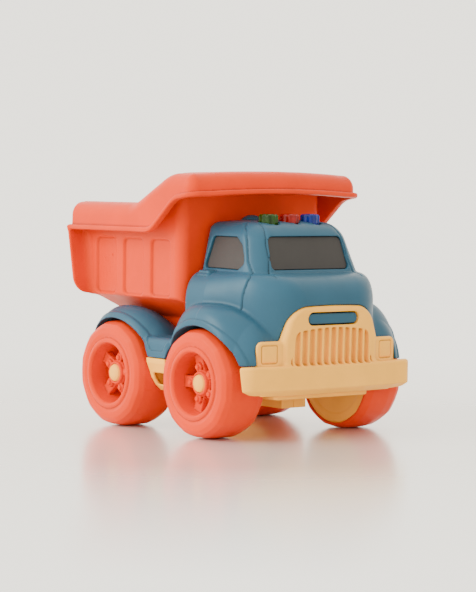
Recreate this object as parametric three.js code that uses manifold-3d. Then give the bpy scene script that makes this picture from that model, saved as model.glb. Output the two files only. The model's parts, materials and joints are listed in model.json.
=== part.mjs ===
// A friction-powered toy dump truck with three light-and-sound buttons on its cab roof.
// Millimetres, +X towards the front of the truck, +Y to its left, +Z up.
// The origin is on the ground, under the middle of the truck.
import * as THREE from 'three';
import { mergeVertices } from 'three/addons/utils/BufferGeometryUtils.js';
import Module from 'manifold-3d';

const wasm = await Module();
wasm.setup();

// ---------------------------------------------------------------- driving dimensions

const GAP = 0.35; // air between neighbouring pieces
const WALL = 2.5; // moulded wall thickness
const WHEEL_RADIUS = 40;
const WHEELBASE = 103.8;
const FRONT_AXLE_X = 50.6;
const REAR_AXLE_X = FRONT_AXLE_X - WHEELBASE;
const AXLE_Z = WHEEL_RADIUS;
const AXLE_RADIUS = 1.5;
const AXLE_HOLE = AXLE_RADIUS + GAP;
const WHEEL_INNER_Y = 49.7; // inner face of a wheel
const AXLE_HALF_LENGTH = 75.5;

const SILL_Z = 55.3; // lower edge of the blue body
const DECK_Z = 70; // deck under the dump bed
const WAIST_Z = 97; // where the bonnet overhangs the grille panel
const BELT_Z = 119.5; // foot of the cab windows
const EAVES_Z = 146; // where the cab's walls turn over into the roof
const ROOF_Z = 157.5;
const CAB_REAR_X = 15.2;
const CAB_FOOT_X = 81.4; // foot of the windscreen wall
const CAB_EAVES_X = 73.6;
const CAB_FOOT_HALF = 52; // half width of the cab at the foot of its windows
const CAB_EAVES_HALF = 46.5;
const NOSE_X = 105.7; // front of the bonnet
const FENDER_HALF = 83; // outer face of the fenders
const FENDER_CORNER = 22; // plan radius at the truck's four corners
const ARCH_A = 49.5; // half length of a wheel arch opening
const ARCH_B = 42; // height of a wheel arch opening above the axle
const PANEL_X = 98; // front of the body behind the grille panel
const PANEL_FRONT = 104.6; // face of the grille panel
const HEADLIGHT_HALF = 66.2; // outer edge of the headlight blocks
const HEADLIGHT_TOP = 72.5;
const BUMPER_HALF = 82.5;
const BUMPER_FRONT = 110;
const BUMPER_BOW = 5.5; // how far the bumper's ends fall back
const BUMPER_LOW = 33.2;
const BUMPER_HIGH = 55;
const WINDOW_WALL = 4; // cab wall around the windows

const TRAY_HALF = 44.6; // chassis tray
const TRAY_BOTTOM = 29.5;
const TRAY_FRONT = 95.4;
const TRAY_REAR = -97;

const BED_HALF = 68; // outer faces of the dump bed's side walls
const BED_WALL = 2.4;
const BED_FRONT_X = 13.2;
const BED_FLOOR_Z = 82;
const BED_BEND_Z = 98.5; // below this the sides taper in
const BED_FLOOR_HALF = 40;
const BED_TAIL_X = -108.6;
const RIM_LOW = 168.5; // rim height along the rear half
const RIM_HIGH = 191; // rim height over the cab
const RIM_CROWN = 2.2; // extra height in the middle of the canopy
const SKIRT = 12.8; // how far the rolled rim stands out from the wall
const BEAD = 16; // how far the bead at its lower edge stands out
const CANOPY_X = 33.2; // line from which the canopy's front skirt stands out
const HINGE_X = -86;
const HINGE_Z = 76;
const HINGE_RADIUS = 1.6;

const BUTTON_X = 55.2;
const BUTTON_PITCH = 20;
const BUTTON_RADIUS = 7.2;
const BUTTON_TOP = 162.2;
const BOARD_Z = 145;
const SPEAKER_X = 78;
const SWITCH_Y = 12;

const GEAR_MODULE = 0.8;
const WHEEL_TEETH = 24;
const PINION_TEETH = 8;
const GEAR_DISTANCE = (GEAR_MODULE * (WHEEL_TEETH + PINION_TEETH)) / 2;
const IDLER_X = FRONT_AXLE_X - GEAR_DISTANCE;
const FLYWHEEL_ANGLE = THREE.MathUtils.degToRad(215);
const FLYWHEEL_X = IDLER_X + GEAR_DISTANCE * Math.cos(FLYWHEEL_ANGLE);
const FLYWHEEL_Z = AXLE_Z + GEAR_DISTANCE * Math.sin(FLYWHEEL_ANGLE);
const FLYWHEEL_RADIUS = 11.2;
const GEAR_TIP = (GEAR_MODULE * WHEEL_TEETH) / 2 + 0.62;
const BOX_MARGIN = 2.2; // gearbox wall and the air inside it
const BOX_REAR = FLYWHEEL_X - FLYWHEEL_RADIUS - BOX_MARGIN;
const BOX_FRONT = FRONT_AXLE_X + GEAR_TIP + BOX_MARGIN;
const BOX_LOW = FLYWHEEL_Z - FLYWHEEL_RADIUS - BOX_MARGIN;
const BOX_HIGH = AXLE_Z + GEAR_TIP + BOX_MARGIN;
const BOX_HALF = 11.5;

const CORAL = { color: 0xf0825f, roughness: 0.38, metalness: 0 };
const BLUE = { color: 0x55879f, roughness: 0.4, metalness: 0 };
const CREAM = { color: 0xecc996, roughness: 0.42, metalness: 0 };
const GREY = { color: 0x6b645f, roughness: 0.5, metalness: 0 };
const STEEL = { color: 0xb8babd, roughness: 0.3, metalness: 1 };
const BRASS = { color: 0xc8a860, roughness: 0.35, metalness: 1 };
const WHITE = { color: 0xe6e4dc, roughness: 0.5, metalness: 0 };
const BLACK = { color: 0x1e1e20, roughness: 0.5, metalness: 0 };
const BOARD_GREEN = { color: 0x2e6b3c, roughness: 0.5, metalness: 0 };

// ---------------------------------------------------------------- solids

const truck = new THREE.Group();

/** The signed volume of an indexed mesh, positive where its faces point out. */
function signedVolume(points, index) {
  let sum = 0;
  const [a, b, c] = [new THREE.Vector3(), new THREE.Vector3(), new THREE.Vector3()];
  for (let i = 0; i < index.length; i += 3) {
    a.fromArray(points, 3 * index[i]);
    b.fromArray(points, 3 * index[i + 1]);
    c.fromArray(points, 3 * index[i + 2]);
    sum += a.dot(b.cross(c)) / 6;
  }
  return sum;
}

/** Turns a closed three.js geometry into a solid that can be joined and cut. */
function solid(source, x = 0, y = 0, z = 0) {
  const bare = source.clone();
  bare.deleteAttribute('normal');
  bare.deleteAttribute('uv');
  const merged = mergeVertices(bare, 1e-4);
  const points = new Float32Array(merged.attributes.position.array);
  const index = new Uint32Array(merged.index.array);
  if (signedVolume(points, index) < 0) index.reverse();
  const mesh = new wasm.Mesh({ numProp: 3, vertProperties: points, triVerts: index });
  mesh.merge();
  return new wasm.Manifold(mesh).translate([x, y, z]);
}

/** Joins any number of solids. */
function join(...solids) {
  return solids.reduce((all, next) => all.add(next));
}

/** Cuts any number of solids out of the first one. */
function cut(body, ...tools) {
  return tools.reduce((left, tool) => left.subtract(tool), body);
}

/** The mirror image of a solid on the other side of the truck. */
function mirrored(body) {
  return body.mirror([0, 1, 0]);
}

/** A solid and its mirror image as one. */
function bothSides(body) {
  return body.add(mirrored(body));
}

/** Adds a named piece to the truck, from a geometry or a solid. */
function piece(name, shape, material, x = 0, y = 0, z = 0) {
  let geometry = shape;
  if (!shape.isBufferGeometry) {
    const mesh = shape.getMesh();
    geometry = new THREE.BufferGeometry();
    geometry.setAttribute('position', new THREE.BufferAttribute(mesh.vertProperties, 3));
    geometry.setIndex(new THREE.BufferAttribute(mesh.triVerts, 1));
    geometry.computeVertexNormals();
  }
  const mesh = new THREE.Mesh(geometry, new THREE.MeshStandardMaterial(material));
  mesh.name = name;
  mesh.position.set(x, y, z);
  truck.add(mesh);
  return mesh;
}

/** A box between two corners. */
function box(x0, x1, y0, y1, z0, z1) {
  const geometry = new THREE.BoxGeometry(x1 - x0, y1 - y0, z1 - z0);
  return solid(geometry, (x0 + x1) / 2, (y0 + y1) / 2, (z0 + z1) / 2);
}

/** A box that is the same on both sides of the truck's middle plane. */
function midBox(x0, x1, half, z0, z1) {
  return box(x0, x1, -half, half, z0, z1);
}

/** A cylinder along Y from y0 to y1. */
function rodY(radius, x, z, y0, y1, sides = 16) {
  const geometry = new THREE.CylinderGeometry(radius, radius, y1 - y0, sides);
  return solid(geometry, x, (y0 + y1) / 2, z);
}

/** A cylinder along Z from z0 to z1. */
function rodZ(radius, x, y, z0, z1, sides = 16) {
  const geometry = new THREE.CylinderGeometry(radius, radius, z1 - z0, sides);
  geometry.rotateX(Math.PI / 2);
  return solid(geometry, x, y, (z0 + z1) / 2);
}

/** A 2-D outline from points [u, v]. */
function outline(points) {
  return new THREE.Shape(points.map(([u, v]) => new THREE.Vector2(u, v)));
}

/** An outline in the X-Z plane, pushed from y0 to y1. */
function pushY(shape, y0, y1, segments = 8) {
  const options = { depth: y1 - y0, bevelEnabled: false, curveSegments: segments };
  const geometry = new THREE.ExtrudeGeometry(shape, options);
  geometry.rotateX(Math.PI / 2);
  geometry.translate(0, y1, 0);
  return solid(geometry);
}

/** An outline in the Y-Z plane, pushed from x0 to x1. */
function pushX(shape, x0, x1, segments = 8) {
  const options = { depth: x1 - x0, bevelEnabled: false, curveSegments: segments };
  const geometry = new THREE.ExtrudeGeometry(shape, options);
  geometry.applyMatrix4(new THREE.Matrix4().set(0, 0, 1, x0, 1, 0, 0, 0, 0, 1, 0, 0, 0, 0, 0, 1));
  return solid(geometry);
}

/** An outline in the X-Y plane, pushed from z0 to z1. */
function pushZ(shape, z0, z1, segments = 8) {
  const options = { depth: z1 - z0, bevelEnabled: false, curveSegments: segments };
  const geometry = new THREE.ExtrudeGeometry(shape, options);
  geometry.translate(0, 0, z0);
  return solid(geometry);
}

/** A rectangle about (u, v) with rounded corners. */
function roundedRect(u, v, width, height, radius) {
  const shape = new THREE.Shape();
  const [a, b] = [width / 2 - radius, height / 2 - radius];
  shape.absarc(u + a, v + b, radius, 0, Math.PI / 2);
  shape.absarc(u - a, v + b, radius, Math.PI / 2, Math.PI);
  shape.absarc(u - a, v - b, radius, Math.PI, 1.5 * Math.PI);
  shape.absarc(u + a, v - b, radius, 1.5 * Math.PI, 2 * Math.PI);
  return shape;
}

/** A full ellipse about (u, v). */
function ellipse(u, v, a, b) {
  const shape = new THREE.Shape();
  shape.absellipse(u, v, a, b, 0, 2 * Math.PI);
  return shape;
}

/** A solid of revolution about Z from points [radius, z]. */
function lathe(points, sides) {
  return new THREE.LatheGeometry(points.map(([r, h]) => new THREE.Vector2(r, h)), sides);
}

/** A revolved piece whose axis is turned to run out along Y; side is -1 or 1. */
function latheY(points, sides, side) {
  const geometry = lathe(points, sides);
  if (side < 0) geometry.rotateX(Math.PI);
  return geometry;
}

/** A closed skin over rings of points; flat maps a ring's point to its end cap's plane. */
function loft(rings, flat) {
  const count = rings[0].length;
  const positions = rings.flat().flatMap((p) => [p.x, p.y, p.z]);
  const index = [];
  for (let i = 0; i + 1 < rings.length; i += 1) {
    for (let j = 0; j < count; j += 1) {
      const [a, b] = [i * count + j, i * count + ((j + 1) % count)];
      index.push(a, b, b + count, a, b + count, a + count);
    }
  }
  const cap = (ring, start, reverse) => {
    const faces = THREE.ShapeUtils.triangulateShape(ring.map(flat), []);
    const wanted = THREE.ShapeUtils.area(ring.map(flat)) > 0;
    for (const [a, b, c] of faces) {
      if (reverse === wanted) index.push(start + a, start + c, start + b);
      else index.push(start + a, start + b, start + c);
    }
  };
  const forwards = THREE.ShapeUtils.area(rings[0].map(flat)) > 0;
  cap(rings[0], 0, forwards);
  cap(rings[rings.length - 1], (rings.length - 1) * count, !forwards);
  const geometry = new THREE.BufferGeometry();
  geometry.setAttribute('position', new THREE.Float32BufferAttribute(positions, 3));
  geometry.setIndex(index);
  return geometry;
}

// ---------------------------------------------------------------- cab, bonnet and fenders

/** One level of the cab: a plan outline with its own corner rounding, drawn in by inset. */
function cabLevel([z, rear, front, halfRear, halfFront, radius], inset, lift = 0) {
  const rearRadius = 5;
  const arcSteps = 4;
  const ring = [];
  const corner = (x, y, r, from) => {
    for (let i = 0; i <= arcSteps; i += 1) {
      const angle = from + (i / arcSteps) * (Math.PI / 2);
      ring.push(new THREE.Vector3(x + r * Math.cos(angle), y + r * Math.sin(angle), z - lift));
    }
  };
  const [r, s] = [Math.max(radius - inset, 1), Math.max(rearRadius - inset, 1)];
  corner(front - inset - r, halfFront - inset - r, r, 0);
  corner(rear + inset + s, halfRear - inset - s, s, Math.PI / 2);
  corner(rear + inset + s, s + inset - halfRear, s, Math.PI);
  corner(front - inset - r, r + inset - halfFront, r, 1.5 * Math.PI);
  return ring;
}

// Height, rear x, front x, half width at the rear and front, plan radius of the front corners.
const CAB_LEVELS = [
  [SILL_Z, CAB_REAR_X, NOSE_X - 0.5, 66, 58, 28],
  [WAIST_Z, CAB_REAR_X, NOSE_X, 66, 58, 28],
  [106, CAB_REAR_X, NOSE_X - 3.5, 65.5, 57.5, 28],
  [112, CAB_REAR_X, NOSE_X - 9, 63, 56, 26],
  [116, CAB_REAR_X, NOSE_X - 16, 59.5, 54, 23],
  [118.5, CAB_REAR_X, NOSE_X - 22.5, 55, 52, 19],
  [BELT_Z + 2, CAB_REAR_X, CAB_FOOT_X, CAB_FOOT_HALF, 51.5, 18],
  [EAVES_Z, CAB_REAR_X + 0.4, CAB_EAVES_X, CAB_EAVES_HALF, 46, 16],
  [151.5, CAB_REAR_X + 1, 71, 45.2, 44.6, 15],
  [155.5, CAB_REAR_X + 3, 67, 42, 41.5, 14],
  [ROOF_Z, CAB_REAR_X + 8, 60, 35, 35, 12],
];
const CAB_SIDE_LEAN = Math.atan2(CAB_FOOT_HALF - CAB_EAVES_HALF, EAVES_Z - BELT_Z - 2);
const CAB_FRONT_LEAN = Math.atan2(CAB_FOOT_X - CAB_EAVES_X, EAVES_Z - BELT_Z - 2);

const planPoint = (p) => new THREE.Vector2(p.x, p.y);
const sidePoint = (p) => new THREE.Vector2(p.x, p.z);

/** The outside of the cab and bonnet. */
function cabOutside() {
  return solid(loft(CAB_LEVELS.map((level) => cabLevel(level, 0)), planPoint));
}

/** The hollow inside the cab and bonnet, open at the bottom. */
function cabHollow() {
  const lower = CAB_LEVELS.filter(([z]) => z < 118).map((level) => cabLevel(level, WALL, WALL));
  const upper = CAB_LEVELS.filter(([z]) => z > 118).map((level) => cabLevel(level, WINDOW_WALL, WALL));
  lower[0] = lower[0].map((p) => p.clone().setZ(SILL_Z - 10));
  return solid(loft([...lower, ...upper], planPoint));
}

// A fender is skinned over arches: distance from the middle plane, height of the arch's crown.
const FRONT_FENDER = [[44.9, 96], [58, 97], [68, 96], [75.5, 92.6], [80.8, 88.4], [FENDER_HALF, 86]];
const REAR_FENDER = [[44.9, 82], [52, 87.4], [60, 91.4], [68, 91.8], [76, 89.4], [81, 87], [FENDER_HALF, 85]];

/** A fender over one wheel on the truck's left; inset draws it in for the hollow. */
function fender(stations, axleX, rearReach, frontReach, inset) {
  const steps = 11;
  const squareness = 2 / 2.35; // an ellipse has 1
  const rings = stations.map(([y, crown]) => {
    const ring = [];
    for (let i = 0; i <= steps; i += 1) {
      const angle = (i / steps) * Math.PI;
      const reach = Math.cos(angle) > 0 ? frontReach - inset : rearReach - inset;
      const along = Math.sign(Math.cos(angle)) * Math.abs(Math.cos(angle)) ** squareness;
      const up = Math.sin(angle) ** squareness;
      const out = Math.min(y, FENDER_HALF - inset);
      ring.push(new THREE.Vector3(axleX + reach * along, out, SILL_Z + (crown - inset - SILL_Z) * up));
    }
    const foot = inset > 0 ? 10 : 0;
    ring.push(new THREE.Vector3(axleX - rearReach + inset, Math.min(y, FENDER_HALF - inset), SILL_Z - foot));
    ring.push(new THREE.Vector3(axleX + frontReach - inset, Math.min(y, FENDER_HALF - inset), SILL_Z - foot));
    return foot > 0 ? ring : ring.slice(0, steps + 1);
  });
  if (inset > 0) rings.pop();
  return solid(loft(rings, sidePoint));
}

/** The room a pair of fenders stays inside, seen from above; its corners are well rounded. */
function fenderPlan(rearX, frontX, inset) {
  const middle = (rearX + frontX) / 2;
  const [length, width] = [frontX - rearX - 2 * inset, 2 * (FENDER_HALF - inset)];
  return pushZ(roundedRect(middle, 0, length, width, FENDER_CORNER - inset), -20, 120, 6);
}

/** The tub that walls a wheel off from the inside of the body, on the left. */
function wheelTub(axleX, grow, innerY) {
  return pushY(ellipse(axleX, AXLE_Z, ARCH_A + grow, ARCH_B + grow), innerY, FENDER_HALF + 3, 11);
}

/** The raised bead round a wheel arch, on the left. */
function archBead(axleX) {
  const bead = wheelTub(axleX, 4.5, FENDER_HALF - 1).subtract(box(-130, 130, 84, 90, -20, 120));
  return bead.subtract(box(-130, 130, 60, 90, -20, SILL_Z));
}

/** A window's opening or pane: outline in the plane of the leaning cab wall. */
const SIDE_WINDOW = [[-22.5, -11.6], [18.5, -11.6], [19.6, -9], [12, 9.5], [8, 12.2], [-20.5, 12.2], [-22.5, 9.8]];
const WINDSCREEN = [[-34.4, -11.6], [34.4, -11.6], [36, -9.6], [33.6, 10.2], [31.6, 12.2],
  [-31.6, 12.2], [-33.6, 10.2], [-36, -9.6]];
const SIDE_WINDOW_AT = [44.5, 49.3, 133.5];
const WINDSCREEN_AT = [77.6, 0, 133.5];

/** Moves a flat window shape, drawn in (u, v) with depth out along w, onto the left cab wall. */
function ontoSide(geometry) {
  const out = new THREE.Vector3(0, Math.cos(CAB_SIDE_LEAN), Math.sin(CAB_SIDE_LEAN));
  const along = new THREE.Vector3(1, 0, 0);
  const up = new THREE.Vector3(0, -Math.sin(CAB_SIDE_LEAN), Math.cos(CAB_SIDE_LEAN));
  const turn = new THREE.Matrix4().makeBasis(along, up, out).setPosition(...SIDE_WINDOW_AT);
  return solid(geometry.applyMatrix4(turn));
}

/** The same for the windscreen. */
function ontoFront(geometry) {
  const out = new THREE.Vector3(Math.cos(CAB_FRONT_LEAN), 0, Math.sin(CAB_FRONT_LEAN));
  const along = new THREE.Vector3(0, 1, 0);
  const up = new THREE.Vector3(-Math.sin(CAB_FRONT_LEAN), 0, Math.cos(CAB_FRONT_LEAN));
  const turn = new THREE.Matrix4().makeBasis(along, up, out).setPosition(...WINDSCREEN_AT);
  return solid(geometry.applyMatrix4(turn));
}

/** A flat window shape drawn in by inset, from depth w0 to w1 under the wall's surface. */
function windowSlab(points, inset, w0, w1) {
  const centre = points.reduce(([a, b], [u, v]) => [a + u / points.length, b + v / points.length], [0, 0]);
  const shrink = ([u, v]) => [u - inset * Math.sign(u - centre[0]), v - inset * Math.sign(v - centre[1])];
  const options = { depth: w1 - w0, bevelEnabled: false };
  const slab = new THREE.ExtrudeGeometry(outline(points.map(shrink)), options);
  return slab.translate(0, 0, w0);
}

/** The room for the grille panel and headlight blocks, grown by this much, from backX forwards. */
function noseRecess(grow, backX) {
  const panel = pushX(grillePanelOutline(grow), backX, 130, 6);
  const blocks = pushX(roundedRect(0, 55, 2 * (HEADLIGHT_HALF + grow), 2 * (HEADLIGHT_TOP + grow - 55), 3.5 + grow),
    backX, 130, 4);
  return join(panel, blocks);
}

const SCREW_POSTS = [[80, 31], [80, -31], [7, 37], [7, -37], [-80, 26], [-80, -26]];

/** The blue body: cab, bonnet, fenders and deck in one moulding. */
function makeBody() {
  const frontFender = (inset) => fender(FRONT_FENDER, FRONT_AXLE_X + 1.2, 48.5, 50.5, inset);
  const rearFender = (inset) => fender(REAR_FENDER, REAR_AXLE_X, 51.8, 51.5, inset);
  const [fenderRear, fenderFront] = [REAR_AXLE_X - 51.8, FRONT_AXLE_X + 51.7];
  const deckRear = REAR_AXLE_X - 50;
  const fenders = (inset) => bothSides(join(frontFender(inset), rearFender(inset)))
    .intersect(fenderPlan(fenderRear, fenderFront, inset));
  const beads = bothSides(join(archBead(FRONT_AXLE_X), archBead(REAR_AXLE_X)))
    .intersect(fenderPlan(fenderRear, fenderFront, -1));
  const outside = join(
    cabOutside(),
    fenders(0),
    beads,
    midBox(deckRear, CAB_REAR_X + 4, 46, SILL_Z, DECK_Z),
    midBox(-14, 14, FENDER_HALF - 0.6, SILL_Z, DECK_Z),
  );
  const tubs = bothSides(join(wheelTub(FRONT_AXLE_X, WALL, 44.95), wheelTub(REAR_AXLE_X, WALL, 44.95)));
  const hollow = join(
    cabHollow(),
    fenders(WALL),
    midBox(deckRear + WALL, CAB_REAR_X + 8, 45, SILL_Z - 10, DECK_Z - WALL),
    midBox(-16, 16, FENDER_HALF - 0.6 - WALL, SILL_Z - 10, DECK_Z - WALL),
  ).subtract(join(tubs, noseRecess(GAP + WALL, PANEL_X - WALL)));
  const wells = bothSides(join(
    wheelTub(FRONT_AXLE_X, 0, 44.95 + WALL),
    wheelTub(REAR_AXLE_X, 0, 44.95 + WALL),
  ));
  let body = cut(outside, hollow, wells, noseRecess(GAP, PANEL_X));
  const pocket = ontoSide(windowSlab(SIDE_WINDOW, 0, -2.6, 6));
  body = cut(body, pocket, mirrored(pocket), ontoFront(windowSlab(WINDSCREEN, 0, -2.6, 6)));
  const badge = pushX(roundedRect(0, 87.8, 46.8, 7.8, 3.9), PANEL_X - 1, PANEL_X + 6.5, 5);
  const restPads = bothSides(box(-24, -4, 14, 22, DECK_Z - 1, BED_FLOOR_Z - GAP));
  const roofDome = solid(new THREE.SphereGeometry(9, 16, 10).scale(0.9, 0.9, 0.5), 28.7, -14, 156.4);
  const lug = bothSides(cut(
    join(box(HINGE_X - 5, HINGE_X + 5, 33.4, 36.4, DECK_Z - 1, HINGE_Z), rodY(5, HINGE_X, HINGE_Z, 33.4, 36.4)),
    rodY(HINGE_RADIUS + GAP, HINGE_X, HINGE_Z, 30, 40, 12),
  ));
  body = join(body, badge, restPads, roofDome, lug);
  for (const [x, y] of SCREW_POSTS) {
    const post = rodZ(4, x, y, 37.4, x > 50 ? BELT_Z - 3.1 : DECK_Z - 1, 10);
    body = cut(join(body, post), rodZ(1.5, x, y, 30, 50, 10));
  }
  for (const side of [-1, 1]) {
    const post = rodZ(2.6, BUTTON_X, side * 32, BOARD_Z + 1.6 + GAP, ROOF_Z - 3, 10);
    body = cut(join(body, post), rodZ(1, BUTTON_X, side * 32, BOARD_Z, BOARD_Z + 8, 8));
  }
  for (const index of [-1, 0, 1]) {
    const y = index * BUTTON_PITCH;
    body = cut(body, rodZ(BUTTON_RADIUS + 0.5, BUTTON_X, y, 150, 170, 20));
    body = cut(body, rodZ(9.2, BUTTON_X, y, 146, 154.5, 16));
  }
  piece('cab_and_fender_body', body, BLUE);
}

/** The three grey panes, each set in its own pocket in the cab wall. */
function makeWindows() {
  const side = ontoSide(windowSlab(SIDE_WINDOW, 0.4, -2.25, -1.25));
  piece('side_window_left', side, GREY);
  piece('side_window_right', mirrored(side), GREY);
  piece('windscreen', ontoFront(windowSlab(WINDSCREEN, 0.4, -2.25, -1.25)), GREY);
}

// ---------------------------------------------------------------- front moulding

/** The plan of the bowed bumper, from the back line to the bowed front, drawn in by inset. */
function bumperPlan(backX, inset) {
  const [half, front, corner] = [BUMPER_HALF - inset, BUMPER_FRONT - inset, 10];
  const [steps, cornerSteps] = [8, 3];
  const bowed = (y) => front - BUMPER_BOW * (y / half) ** 2;
  const right = [];
  for (let i = 0; i < cornerSteps; i += 1) {
    const angle = (i / cornerSteps) * (Math.PI / 2);
    const y = half - corner + corner * Math.cos(angle);
    right.push([bowed(y) - corner * 0.45 * (1 - Math.sin(angle)), y]);
  }
  const face = [];
  for (let i = 0; i <= steps; i += 1) {
    const y = (half - corner) * (1 - (2 * i) / steps);
    face.push([bowed(y), y]);
  }
  const left = right.map(([x, y]) => [x, -y]).reverse();
  return outline([[backX, -half], [backX, half], ...right, ...face, ...left]);
}

/** The grille panel's front outline, feet down inside the bumper, grown by this much. */
function grillePanelOutline(grow) {
  const shape = new THREE.Shape();
  shape.moveTo(-46 - grow, 50);
  shape.lineTo(46 + grow, 50);
  shape.lineTo(46.3 + grow, 73);
  shape.bezierCurveTo(43.5 + grow, 74.5, 43.5 + grow, 84, 41 + grow, 89);
  shape.bezierCurveTo(38 + grow, 95.5 + grow, 32, 96.9 + grow, 24, 96.9 + grow);
  shape.lineTo(-24, 96.9 + grow);
  shape.bezierCurveTo(-32, 96.9 + grow, -38 - grow, 95.5 + grow, -41 - grow, 89);
  shape.bezierCurveTo(-43.5 - grow, 84, -43.5 - grow, 74.5, -46.3 - grow, 73);
  return shape;
}

/** The cream front: bumper, headlight blocks and grille panel in one moulding. */
function makeFront() {
  const [chamferTop, chamferIn] = [37.2, 3.5];
  const bumper = cut(
    join(
      pushZ(bumperPlan(TRAY_FRONT + GAP, 0), chamferTop, BUMPER_HIGH),
      pushZ(bumperPlan(TRAY_FRONT + GAP, chamferIn), BUMPER_LOW, chamferTop),
    ),
    pushZ(bumperPlan(TRAY_FRONT - 10, chamferIn + WALL), BUMPER_LOW + WALL, BUMPER_HIGH - WALL),
  );
  const panel = pushX(grillePanelOutline(0), PANEL_X + GAP, PANEL_FRONT, 6);
  const slot = pushX(roundedRect(0, 87.8, 48.5, 9.5, 4.7), 90, 120, 5);
  const [grooveCount, groovePitch, grooveWidth, grooveDepth, grooveFoot] = [11, 6.6, 3.8, 3.4, 57.2];
  const grooves = [];
  for (let i = 0; i < grooveCount; i += 1) {
    const y = (i - (grooveCount - 1) / 2) * groovePitch;
    const top = 79.9 - 2.2 * (y / 33) ** 2;
    grooves.push(box(PANEL_FRONT - grooveDepth, 120, y - grooveWidth / 2, y + grooveWidth / 2, grooveFoot, top));
  }
  const blockFront = 102.4;
  const headlight = bothSides(cut(
    pushX(roundedRect(56, 63.7, 20.4, 17.6, 3.5), PANEL_X + GAP, blockFront, 4),
    pushX(roundedRect(55.4, 63.2, 13.2, 12.9, 1.2), blockFront - 0.7, 110, 2),
  ));
  piece('front_bumper_and_grille', cut(join(bumper, panel, headlight), slot, ...grooves), CREAM);
}

// ---------------------------------------------------------------- chassis

/** One side step between the wheels, curving in towards the ground, with a window through it. */
function sideStep() {
  const curve = [[TRAY_HALF - 2, 54.7], [80, 54.7], [79.6, 51], [77.6, 46.5], [75, 39.5], [71, 33.8], [66, TRAY_BOTTOM],
    [TRAY_HALF - 2, TRAY_BOTTOM]];
  const inner = [[30, 60], [77.2, 60], [77.2, 51], [75.3, 47], [72.8, 41], [69, 36], [65, 32], [30, 32]];
  const step = cut(pushX(outline(curve), -12.8, 10.2), pushX(outline(inner), -10.4, 7.8));
  return cut(step, box(-8.6, 6, 60, 90, 34, 43.6));
}

/** The cream chassis tray with its steps, battery compartment, axle bearings and screw pillars. */
function makeChassis() {
  const tray = cut(
    midBox(TRAY_REAR, TRAY_FRONT, TRAY_HALF, TRAY_BOTTOM, 54.7),
    midBox(TRAY_REAR + WALL, TRAY_FRONT - WALL, TRAY_HALF - WALL, TRAY_BOTTOM + WALL, 60),
  );
  const stepRoom = bothSides(box(-10.4, 7.8, TRAY_HALF - 4, 70, TRAY_BOTTOM + WALL, 56));
  const steps = bothSides(sideStep());
  const compartment = cut(
    midBox(-48.5, 3.5, 32, TRAY_BOTTOM, 50.5),
    midBox(-46, 1, 29.5, TRAY_BOTTOM - 1, 48.2),
  );
  const doorGap = midBox(-46, 1, 29.5, TRAY_BOTTOM - 1, 40);
  const doorBoss = rodZ(3.6, 6, 0, TRAY_BOTTOM, 44, 12);
  let chassis = cut(join(cut(join(tray, steps), stepRoom), compartment), doorGap);
  chassis = join(chassis, doorBoss);
  chassis = cut(
    chassis,
    rodZ(1.2, 6, 0, 31.9, 42, 8),
    midBox(-1, 9, 4.2, TRAY_BOTTOM - 1, 31.9),
    midBox(BOX_REAR - GAP, BOX_FRONT + GAP, BOX_HALF + GAP, TRAY_BOTTOM - 1, 33),
    box(-83, -73, SWITCH_Y - 2, SWITCH_Y + 2, TRAY_BOTTOM - 1, 33),
  );
  for (let i = -2; i <= 2; i += 1) {
    const x = SPEAKER_X + 4.4 * i;
    chassis = cut(chassis, box(x - 1, x + 1, -8, 8, TRAY_BOTTOM - 1, 33));
  }
  for (const [x, y] of SCREW_POSTS) {
    chassis = join(chassis, rodZ(6, x, y, TRAY_BOTTOM, 37, 14));
    chassis = cut(chassis, rodZ(4, x, y, 20, 35, 12), rodZ(1.9, x, y, 30, 40, 10));
  }
  for (const x of [FRONT_AXLE_X, REAR_AXLE_X]) {
    const bearings = bothSides(rodY(5.5, x, AXLE_Z, 38, TRAY_HALF, 14));
    chassis = cut(join(chassis, bearings), rodY(AXLE_HOLE, x, AXLE_Z, -60, 60, 12));
  }
  piece('chassis_tray', chassis, CREAM);
}

/** A pan-head self-tapping screw, head down, driven up from headZ. */
function screw(name, x, y, headZ, headRadius, shankRadius, length) {
  const points = [[0, 0], [headRadius * 0.8, 0], [headRadius, 0.7], [headRadius, 1.9], [shankRadius, 1.9],
    [shankRadius, length - 1.5], [0, length]];
  piece(name, lathe(points, 10).rotateX(Math.PI / 2), STEEL, x, y, headZ);
}

/** The screws that hold the chassis to the body, the button board and the battery door. */
function makeScrews() {
  SCREW_POSTS.forEach(([x, y], index) => screw(`chassis_screw_${index + 1}`, x, y, 32.9, 3.1, 1.15, 14));
  screw('battery_door_screw', 6, 0, 27.6, 2.4, 0.85, 11);
  screw('board_screw_right', BUTTON_X, -32, BOARD_Z - 2.3, 2, 0.65, 9);
  screw('board_screw_left', BUTTON_X, 32, BOARD_Z - 2.3, 2, 0.65, 9);
}

// ---------------------------------------------------------------- wheels

// Wheel section: radius, and distance out from the wheel's inner face. Round the tread,
// over the shoulder and lip, down the rim's barrel to its floor and the hub, then back inside.
const WHEEL_SECTION = [[37.2, 0], [38.4, 0.6], [40, 6], [40, 22], [39, 27.5], [36.6, 31], [33, 32.8], [26.2, 32.6],
  [24.9, 33.7], [23, 33.7], [22, 32.6], [20.8, 13.4], [8.4, 12.4], [8.4, 29.4], [7, 29.4], [7, 26.6],
  [AXLE_HOLE, 26.6], [AXLE_HOLE, 9.6], [22.8, 10.8], [23.8, 30.8], [30, 30.4], [35, 28.6], [37.2, 24]];
const HUB_OUT = 8.2; // spokes run from inside the hub to inside the rim
const SPOKE_TIP = 21.3;
const SPOKE_WIDTH = 8.8;
const SPOKE_INNER_Y = 21.3;
const SPOKE_OUTER_Y = 25.5;

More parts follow.
